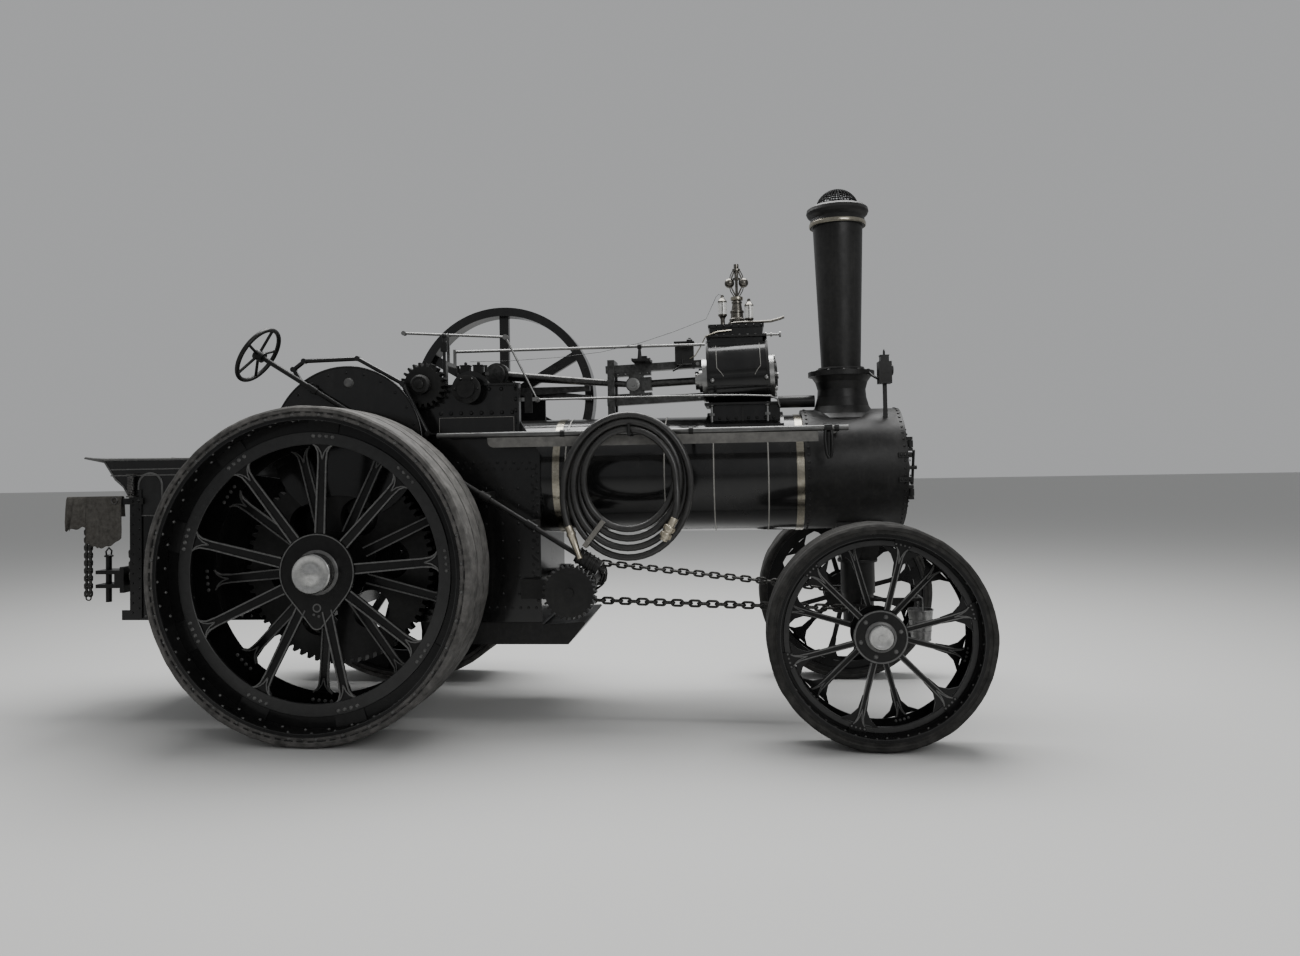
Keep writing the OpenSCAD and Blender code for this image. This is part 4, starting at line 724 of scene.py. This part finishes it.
for base_x, tall in ((1.4845, 0.07), (1.6595, 0.04)):
    stud([(0, 0.026), (0.006, 0.026), (0.008, 0.0145), (tall - 0.026, 0.0145), (tall - 0.014, 0.021),
          (tall - 0.004, 0.03), (tall + 0.004, 0.0305)], (base_x, CUPS_Y, CUPS_Z), UP, 20)
    lathe([(tall + 0.084, 0), (tall + 0.084, 0.0305), (tall + 0.092, 0.03), (tall + 0.115, 0.011), (tall + 0.12, 0.013),
           (tall + 0.134, 0.008), (tall + 0.136, 0)], (base_x, CUPS_Y, CUPS_Z), UP, 20)
    for k in range(3):
        a = tau * k / 3 + 0.5
        x, y = base_x + 0.03 * cos(a), CUPS_Y + 0.03 * sin(a)
        pipe([(x, y, CUPS_Z + tall), (x, y, CUPS_Z + tall + 0.088)], 0.0025, 6)
spindle = Vector((1.5805, 0, 0))
band([(2.5505, 0.0405), (2.556, 0.052), (2.572, 0.054), (2.58, 0.044), (2.612, 0.042), (2.616, 0.047), (2.628, 0.047),
      (2.632, 0.038), (2.676, 0.031), (2.68, 0.036), (2.69, 0.036), (2.692, 0.0285)], spindle, UP, 28)
band([(2.838, 0.0095), (2.838, 0.024), (2.85, 0.026), (2.854, 0.013), (2.896, 0.013), (2.9, 0.027), (2.912, 0.027),
      (2.912, 0.0095)], spindle, UP, 20)
BOW = ((0.022, 2.906), (0.04, 2.87), (0.052, 2.818), (0.04, 2.765), (0.016, 2.724))
for x, y in circle(4, 1):
    pipe([spindle + Vector((x * away, y * away, z)) for away, z in BOW], 0.0034, 6)
pipe([(1.54, -0.105, 2.53), (1.6, -0.125, 2.532), (1.72, -0.125, 2.532), (1.8, -0.125, 2.535), (1.86, -0.125, 2.55),
      (1.886, -0.125, 2.56)], 0.0095)
put("governor_fittings", bronze, angle=30)
lathe([(2.7005, 0.0345), (2.7, 0.041), (2.712, 0.043), (2.722, 0.041), (2.7225, 0.0345)], spindle, UP, 24)
pipe([(1.262, -0.144, 2.3), (1.3, -0.16, 2.318), (1.335, -0.18, 2.37), (1.372, -0.19, 2.44), (1.45, -0.185, 2.468),
      (1.54, -0.168, 2.478)], 0.0042, 8)
put("bright_collars", brass)
pipe([(1.4845, -0.09, 2.722), (1.46, -0.1, 2.728), (1.4433, -0.1, 2.7116), (1.4226, -0.105, 2.6657),
      (1.3748, -0.12, 2.5643), (1.16, -0.16, 2.48), (0.9417, -0.2, 2.408), (0.69, -0.25, 2.35), (0.4271, -0.3, 2.318),
      (0.08, -0.33, 2.3), (-0.158, -0.35, 2.3)], 0.0016, 6)
put("oil_wire", dark_iron)


# Steering gear, rail, bearings and front axle: forged chains on the barrel, a worm, a hook, oil boxes and bolts.
# Black iron throughout, dull with oil and dust; the links are loose on each other and the rest is bolted.
chain_steel = coat("chain_steel", (0.022, 0.022, 0.021), (0.06, 0.058, 0.055), 0.42, metal=0.85, grain=60, dents=0.25,
                   dust=0.08)
dress(coat("grey_board", (0.085, 0.083, 0.078), (0.155, 0.15, 0.14), 0.7, grain=22, dents=0.4, dust=0.08, streak=0.15),
      "side_board")
plate_steel = coat("worn_plate", (0.05, 0.05, 0.05), (0.13, 0.125, 0.12), 0.5, metal=0.7, grain=25, dents=0.3,
                   dust=0.15)
dress(chain_steel, "steering_chains", "chain_ends")
dress(plate_steel, "footplate")
LINK_PITCH, LINK_COUNT, GAP_LINK = 0.0554, 31, 22
RAIL_Y, RAIL_Z = -0.54, 1.815


def link(place):
    """One oval link of 16 mm bar, 88 by 52 mm over all, its long axis along X."""
    path = [place @ Vector((0.018 * (1 if abs(a) < pi / 2 else -1) + 0.018 * cos(a), 0.018 * sin(a), 0))
            for a in (pi * (k + 0.5) / 7 - pi for k in range(14))]
    pipe(path, 0.0078, 6, looped=True)


def hoop(centre, half_wide, half_tall, count):
    """A closed loop of thin bar in X and Z."""
    x, y, z = centre
    ring = [(x + half_wide * cos(tau * k / count), y, z + half_tall * sin(tau * k / count)) for k in range(count)]
    pipe(ring, 0.0045, 6, looped=True)


for side, word in ((-1, "right"), (1, "left")):
    begin = Vector((0.5315, side * 0.35, 0.837 + side * 0.0803))
    end = Vector((0, side * 0.43, 0.707))
    end.x = begin.x + sqrt((LINK_PITCH * LINK_COUNT)**2 - (end.y - begin.y)**2 - (end.z - begin.z)**2)
    along = (end - begin).normalized()
    turned = Matrix.Rotation(atan2(along.y, along.x), 4, "Z") @ Matrix.Rotation(-asin(along.z), 4, "Y")
    link(move(begin + along * LINK_PITCH * (GAP_LINK + 0.5)) @ turned)
    spare = put("joining_link_" + word, chain_steel, None)
    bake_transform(spare)
    for i in range(17):
        a = -side * radians(20 + i * 40.4)
        spot = Vector((0.5195 - 0.0885 * sin(a), side * (0.304 - i * 0.0062), 0.837 + side * 0.0885 * cos(a)))
        heading = Matrix.Rotation(-atan2(side * -sin(a), -cos(a)), 4, "Y")
        link(move(spot) @ heading @ about("X", 45 if i % 2 else -45))
    put("wound_chain_" + word, chain_steel, "chain_barrel")
column = move((0.6378, -0.573, 1.02485)) @ about("Y", -57.8)
pipe([column @ Vector((0.0495 * cos(tau * k / 16), 0.0495 * sin(tau * k / 16), -0.074 + 0.148 * k / 80))
      for k in range(81)], 0.006, 6)
put("worm_thread", dark_iron, "steering_wheel")
pipe([(2.094, -0.556, 1.8), (2.092, -0.56, 1.74), (2.1, -0.56, 1.66), (2.112, -0.56, 1.632), (2.126, -0.56, 1.64),
      (2.132, -0.56, 1.68), (2.132, -0.56, 1.745), (2.13, -0.556, 1.8)], 0.0105)
pipe([(2.112, -0.56, 1.79), (2.112, -0.56, 1.66)], 0.012)
collar(0.0182, 0.027, 0.024, (2.112, RAIL_Y, RAIL_Z), AHEAD, 24)
for x in (0.4825, 1.2825, 2.1625):
    collar(0.0182, 0.024, 0.014, (x, RAIL_Y, RAIL_Z), AHEAD, 24)
for z in (1.642, 1.49):
    y = -sqrt(SMOKE_R**2 - (z - SMOKE_Z)**2)
    box((2.592, y - 0.004, z), (0.08, 0.018, 0.032))
    heads([((x, y - 0.013, z), RIGHT) for x in (2.568, 2.592, 2.616)], 0.009)
put("rail_fittings", dark_iron, angle=30)
BEARING_Y, BOXES_Z = -0.35, 2.238
for x in (-0.238, -0.052):
    pipe([(x, BEARING_Y, 2.15), (x, BEARING_Y, 2.275)], 0.01)
    nut((x, BEARING_Y, 2.218), 0.021, 0.02)
for x in (-0.185, -0.1):
    box((x, -0.352, BOXES_Z), (0.058, 0.052, 0.064))
    box((x, -0.352, BOXES_Z + 0.035), (0.066, 0.06, 0.007))
    stud([(0, 0.01), (0.016, 0.01), (0.022, 0.006)], (x, -0.352, BOXES_Z + 0.038), UP, 14)
pipe([(-0.316, -0.387, 2.05), (-0.316, -0.387, 2.462)], 0.01)
box((-0.316, -0.387, 2.395), (0.04, 0.03, 0.06))
ball((-0.316, -0.387, 2.47), 0.017)
stud([(0, 0.058), (0.01, 0.062), (0.04, 0.062), (0.05, 0.05), (0.05, 0.03), (0.062, 0.03), (0.066, 0.022)],
     (-0.4355, -0.4832, 2.146), RIGHT, 32)
stud([(0, 0.092), (0.012, 0.092), (0.016, 0.08), (0.016, 0.056), (0.034, 0.056)], (CRANK_X, -0.468, CRANK_Z), RIGHT, 32)
heads([((CRANK_X + x, -0.484, CRANK_Z + z), RIGHT) for x, z in circle(6, 0.073)], 0.01, sides=6)
box((0.235, -0.388, 2.02), (0.05, 0.008, 0.13))
put("bearing_fittings", dark_iron, angle=30)
heads([((FRONT_X + x, y, 0.971), UP) for x, y in circle(12, 0.105)], 0.011, sides=6)
heads([((x, y, 1.196), UP) for x in (2.205, 2.464) for y in (-0.165, 0.165)], 0.012, sides=6)
band([(0.968, 0.1105), (0.968, 0.128), (0.958, 0.13), (0.948, 0.128), (0.948, 0.1105)], (FRONT_X, 0, 0), UP, 36)
put("perch_bolts", heat_paint, angle=30)
for side in (-1, 1):
    collar(0.0385, 0.062, 0.012, (FRONT_X, side * 0.705, FRONT.tall), LEFT, 28)
    for x in (2.3, 2.369):
        heads([((x, side * 0.6, 0.6855), UP), ((x, side * 0.52, 0.6855), UP)], 0.011, sides=6)
put("axle_collars", dark_iron, "front_axle", angle=30)
heads([((2.635, y, SMOKE_Z + z), AHEAD) for y, z in circle(40, 0.3)], 0.008)
put("door_rivets", heat_paint, "smokebox_door")


# Tender and what hangs on it: riveted tank plates with half-round beads, a coil spring and hook chains.
# The plates are painted black; the spring, ring and chain are bare dull steel, fixed with bolts and eyes.
TANK_REAR = -2.4275
for side in (-1, 1):
    y = side * 0.4635
    pipe([(-2.742, y, 1.7205), (-2.68, y, 1.712), (-2.6075, y, 1.7065), (-2.2, y, 1.7035), (-1.7675, y, 1.7005)],
         0.0085)
    pipe([(-2.7485, y, 1.72), (-2.6075, y, 1.69), (-2.5305, y, 1.573), (-2.4745, y, 1.526), (-2.428, y, 1.45)], 0.0065)
    for z in (1.64, 1.6):
        pipe([(-2.565, y, z), (-1.77, y, z)], 0.0045, 6)
    for front, z, count in ((-1.13, 0.675, 19), (-1.72, 1.105, 10)):
        heads(row((-2.32, side * 0.462, z), (front, side * 0.462, z), count, (0, side, 0)), RIVET)
for z in (1.41, 0.7):
    heads(row((TANK_REAR, -0.43, z), (TANK_REAR, 0.43, z), 14, BACK), RIVET)
for y in (-0.44, 0.44):
    heads(row((TANK_REAR, y, 0.76), (TANK_REAR, y, 1.36), 10, BACK), RIVET)
crown = [(-2.287 + 0.083 * cos(pi * k / 14), 1.53 + 0.083 * sin(pi * k / 14)) for k in range(15)]
arch = [(-2.204, 1.335)] + crown + [(-2.37, 1.335)]
pipe([(x, -0.4635, z) for x, z in arch], 0.0075, looped=True)
# The tender beads are lighter grey than the tank's black: painted highlight on their edges.
put("tender_beads", highlight_grey_paint)
for side in (-1, 1):
    box((-2.385, side * 0.467, 1.085), (0.082, 0.01, 0.84))
    for x, foot, head, count in ((-2.408, 0.7, 1.47, 13), (-2.362, 0.73, 1.44, 12)):
        heads(row((x, side * 0.472, foot), (x, side * 0.472, head), count, (0, side, 0)), RIVET)
put("tender_posts", black_paint)
bar_along(arch, 0.0015, move((0, -0.4622, 0)) @ about("X", 90))
put("arched_panel", dull_black, smooth=False)
pipe([(-2.405 + 0.017 * cos(tau * k / 12), -0.492 + 0.017 * sin(tau * k / 12), 1.475 + 0.0105 * k / 12)
      for k in range(133)], 0.0042, 6)
pipe([(-2.405, -0.492, 1.462), (-2.405, -0.492, 1.606)], 0.006)
for z in (1.462, 1.606):
    box((-2.405, -0.482, z), (0.05, 0.042, 0.01))
hoop((-2.5175, -0.4955, 1.436), 0.02, 0.02, 20)
pipe([(-2.5175, -0.478, 1.446), (-2.5175, -0.5, 1.456)], 0.005, 6)
put("spring_and_ring", plate_steel)
for side in (-1, 1):
    a, b = Vector((-2.447, side * 0.42, 1.1)), Vector((-2.47, side * 0.13, 0.89))
    sag = Vector((-0.1, 0, -0.48))
    curve = [a.lerp(b, i / 48) + sag * (i / 48) * (1 - i / 48) * 2 for i in range(49)]
    total, walked, which = line_length(curve), 0.0, 0
    pitch = total / round(total / 0.041)
    goal = pitch / 2
    for p, q in zip(curve, curve[1:]):
        step = (q - p).length
        while walked + step >= goal:
            spot = p.lerp(q, (goal - walked) / step)
            seat = move(spot) @ (q - p).to_track_quat("X", "Z").to_matrix().to_4x4() @ Matrix.Scale(0.78, 4)
            link(seat @ about("X", 90 * (which % 2)))
            which += 1
            goal += pitch
        walked += step
    for eye, out in ((a, 0.02), (b, 0.043)):
        pipe([(eye.x + out, eye.y, eye.z), (eye.x - 0.006, eye.y, eye.z)], 0.01)
        stud([(0, 0.026), (0.008, 0.026)], (TANK_REAR - 0.008, eye.y, eye.z), AHEAD, 16)
for x in (-2.728, -2.7):
    for i in range(23):
        seat = move((x, -0.474, 1.38 - i * 0.0252)) @ about("Y", 90) @ Matrix.Scale(0.46, 4)
        link(seat @ about("X", 45 + 90 * (i % 2)))
hoop((-2.714, -0.474, 0.8), 0.018, 0.018, 14)
hoop((-2.714, -0.474, 1.412), 0.02, 0.046, 14)
put("hook_chains", chain_steel)
heads([((-2.7585, y, 0.868 + z), BACK) for y in (-0.092, 0.092) for z in (-0.07, 0.07)], 0.014, sides=6)
stud([(1.02, 0.03), (1.03, 0.03), (1.036, 0.02)], (-2.9175, 0, 0), UP, 20)
pipe([(-2.9175, -0.024, 1.03), (-2.9175, -0.03, 1.06), (-2.9175, 0, 1.085), (-2.9175, 0.03, 1.06),
      (-2.9175, 0.024, 1.03)], 0.006)
heads(row((-2.36, -0.482, 1.43), (-2.4, -0.482, 1.43), 2), 0.012, sides=6)
put("drawbar_bolts", dark_iron, angle=30)


# Canvas: two old sheets of coarse cloth thrown over the bar behind the tender, creased, sagging and torn below.
# They hang by their own weight; the cloth is undyed and greyed with dirt.
canvas = coat("old_canvas", (0.05, 0.047, 0.042), (0.1, 0.094, 0.085), 0.92, grain=40, dents=0.7, streak=0.35,
              spec=0.15)
BAR_TOP, BAR_MIDDLE = 1.4505, -0.472


def canvas_sheet(name, x0, x1, back, low, folds, deep, phase):
    """A sheet over the bar: its back edge, its lower front edge as a function of the place across, and its folds."""
    rows = []
    for i in range(41):
        u = i / 40
        sway = sin(tau * folds * u + phase) * 0.6 + sin(tau * folds * 1.9 * u + 2.1 * phase) * 0.4
        column = [(BAR_MIDDLE + 0.014 + 0.006 * (1 - k / 5) * (1 + sway), back + (BAR_TOP - back) * k / 5)
                  for k in range(5)]
        column += [(BAR_MIDDLE + 0.014 * cos(pi * k / 6), BAR_TOP + 0.014 * sin(pi * k / 6)) for k in range(7)]
        foot = low(u)
        for k in range(1, 25):
            t = k / 24
            crease = noise.noise(Vector((u * 5 + phase, t * 3, phase))) * 0.01 * t
            column.append((BAR_MIDDLE - 0.0145 - deep * (1 + sway) * t**0.75 - crease - 0.006 * t,
                           BAR_TOP + (foot - BAR_TOP) * t))
        pinch = 0.018 * sin(pi * u * 2 + phase)
        rows.append([bm.verts.new((x0 + (x1 - x0) * u + pinch * (k / 36)**2, y, z)) for k, (y, z) in enumerate(column)])
    for a, b in zip(rows, rows[1:]):
        for k in range(len(a) - 1):
            bm.faces.new((a[k], b[k], b[k + 1], a[k + 1]))
    surface = sum(f.calc_area() for f in bm.faces)
    made = put(name, canvas, angle=0)
    thick = made.modifiers.new("cloth", "SOLIDIFY")
    thick.thickness, thick.offset = 0.0024, 0.0
    return made


flap = canvas_sheet("canvas_flap", -2.724, -2.474, 1.33,
                    lambda u: 1.118 + 0.075 * u**4 + 0.04 * (1 - u)**3 + 0.004 * sin(31 * u), 2.2, 0.007, 0.8)
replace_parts(flap, "canvas_flaps")
canvas_sheet("canvas_bundle", -2.862, -2.716, 1.3,
             lambda u: 1.242 + 0.035 * u**2 + 0.006 * sin(27 * u), 1.6, 0.019, 2.4)


# Lamp and pail: a black sheet-metal lamp with a round glass and a vented top, and a galvanised pail on its arm.
# The lamp has a stay to the chimney's flange; the pail is seamed, with a wired rim and a ring foot.
zinc = coat("zinc", (0.16, 0.16, 0.16), (0.3, 0.3, 0.295), 0.45, metal=0.8, grain=22, dents=0.2, dust=0.12, streak=0.08)
dress(zinc, "pail")
LAMP_X, LAMP_FACE, LAMP_Y = 2.5065, 2.5462, -0.215
band([(0, 0.024), (0, 0.036), (0.01, 0.036), (0.014, 0.03), (0.014, 0.026), (0.004, 0.024)], (LAMP_FACE, LAMP_Y, 2.185),
     AHEAD, 28)
box((LAMP_X, LAMP_Y, 2.2775), (0.058, 0.07, 0.006))
for z in (2.17, 2.13):
    box((LAMP_X, -0.2655, z), (0.05, 0.003, 0.012))
pipe([(2.466, -0.215, 2.13), (2.44, -0.19, 2.15), (2.415, -0.12, 2.19)], 0.008)
handle = ((-0.238, 2.28), (-0.238, 2.305), (LAMP_Y, 2.318), (-0.192, 2.305), (-0.192, 2.28))
pipe([(LAMP_X, y, z) for y, z in handle], 0.0035, 6)
put("lamp_fittings", dark_iron, angle=30)
lathe([(0, 0), (0, 0.0245), (0.003, 0.02), (0.006, 0)], (LAMP_FACE, LAMP_Y, 2.185), AHEAD, 24)
put("lamp_glass", clouded_glass)
pail_foot = Vector((2.6755, -0.3, 0.49))
band([(0.186, 0.0752), (0.186, 0.0785), (0.19, 0.08), (0.1935, 0.0785), (0.1935, 0.0752)], pail_foot, UP, 40)
for z, wide in ((0.06, 0.064), (0.13, 0.0707)):
    band([(z - 0.004, wide - 0.0005), (z, wide + 0.0022), (z + 0.004, wide + 0.0003)], pail_foot, UP, 40)
band([(0.0005, 0.0583), (0.0005, 0.0605), (0.01, 0.061), (0.01, 0.0587)], pail_foot, UP, 40)
put("pail_beads", zinc, "front_axle")


# Floor and light: a pale studio floor under a wide overcast-like light, with one softer light at the front.
floor_mesh = bpy.data.meshes.new("floor")
bmesh.ops.create_grid(bm, x_segments=1, y_segments=1, size=60)
bm.to_mesh(floor_mesh)
bm.free()
floor = add_object("floor", floor_mesh)
floor.location.z = -0.001
floor_paint = bpy.data.materials.new("floor_paint")
floor_paint.use_nodes = True
shader = floor_paint.node_tree.nodes["Principled BSDF"]
shader.inputs["Base Color"].default_value = (0.5, 0.5, 0.49, 1)
shader.inputs["Roughness"].default_value = 0.85
floor_mesh.materials.append(floor_paint)
sky = bpy.data.worlds.new("studio_sky")
sky.use_nodes = True
backdrop = sky.node_tree.nodes["Background"]
backdrop.inputs["Color"].default_value = (0.8, 0.81, 0.82, 1)
backdrop.inputs["Strength"].default_value = 0.5
bpy.context.scene.world = sky


def soft_light(name, where, aim, size, power):
    """An area light aimed at a point."""
    lamp_data = bpy.data.lights.new(name, "AREA")
    lamp_data.shape = "RECTANGLE"
    lamp_data.size, lamp_data.size_y = size
    lamp_data.energy = power
    made = add_object(name, lamp_data)
    made.matrix_world = move(where) @ (Vector(aim) - Vector(where)).to_track_quat("-Z", "Y").to_matrix().to_4x4()


soft_light("overhead_light", (0.5, 1.5, 8.0), (0.3, 0.0, 1.5), (9.0, 5.0), 1300)
soft_light("side_light", (5.0, -7.0, 4.5), (0.5, 0.0, 1.2), (4.0, 3.0), 170)
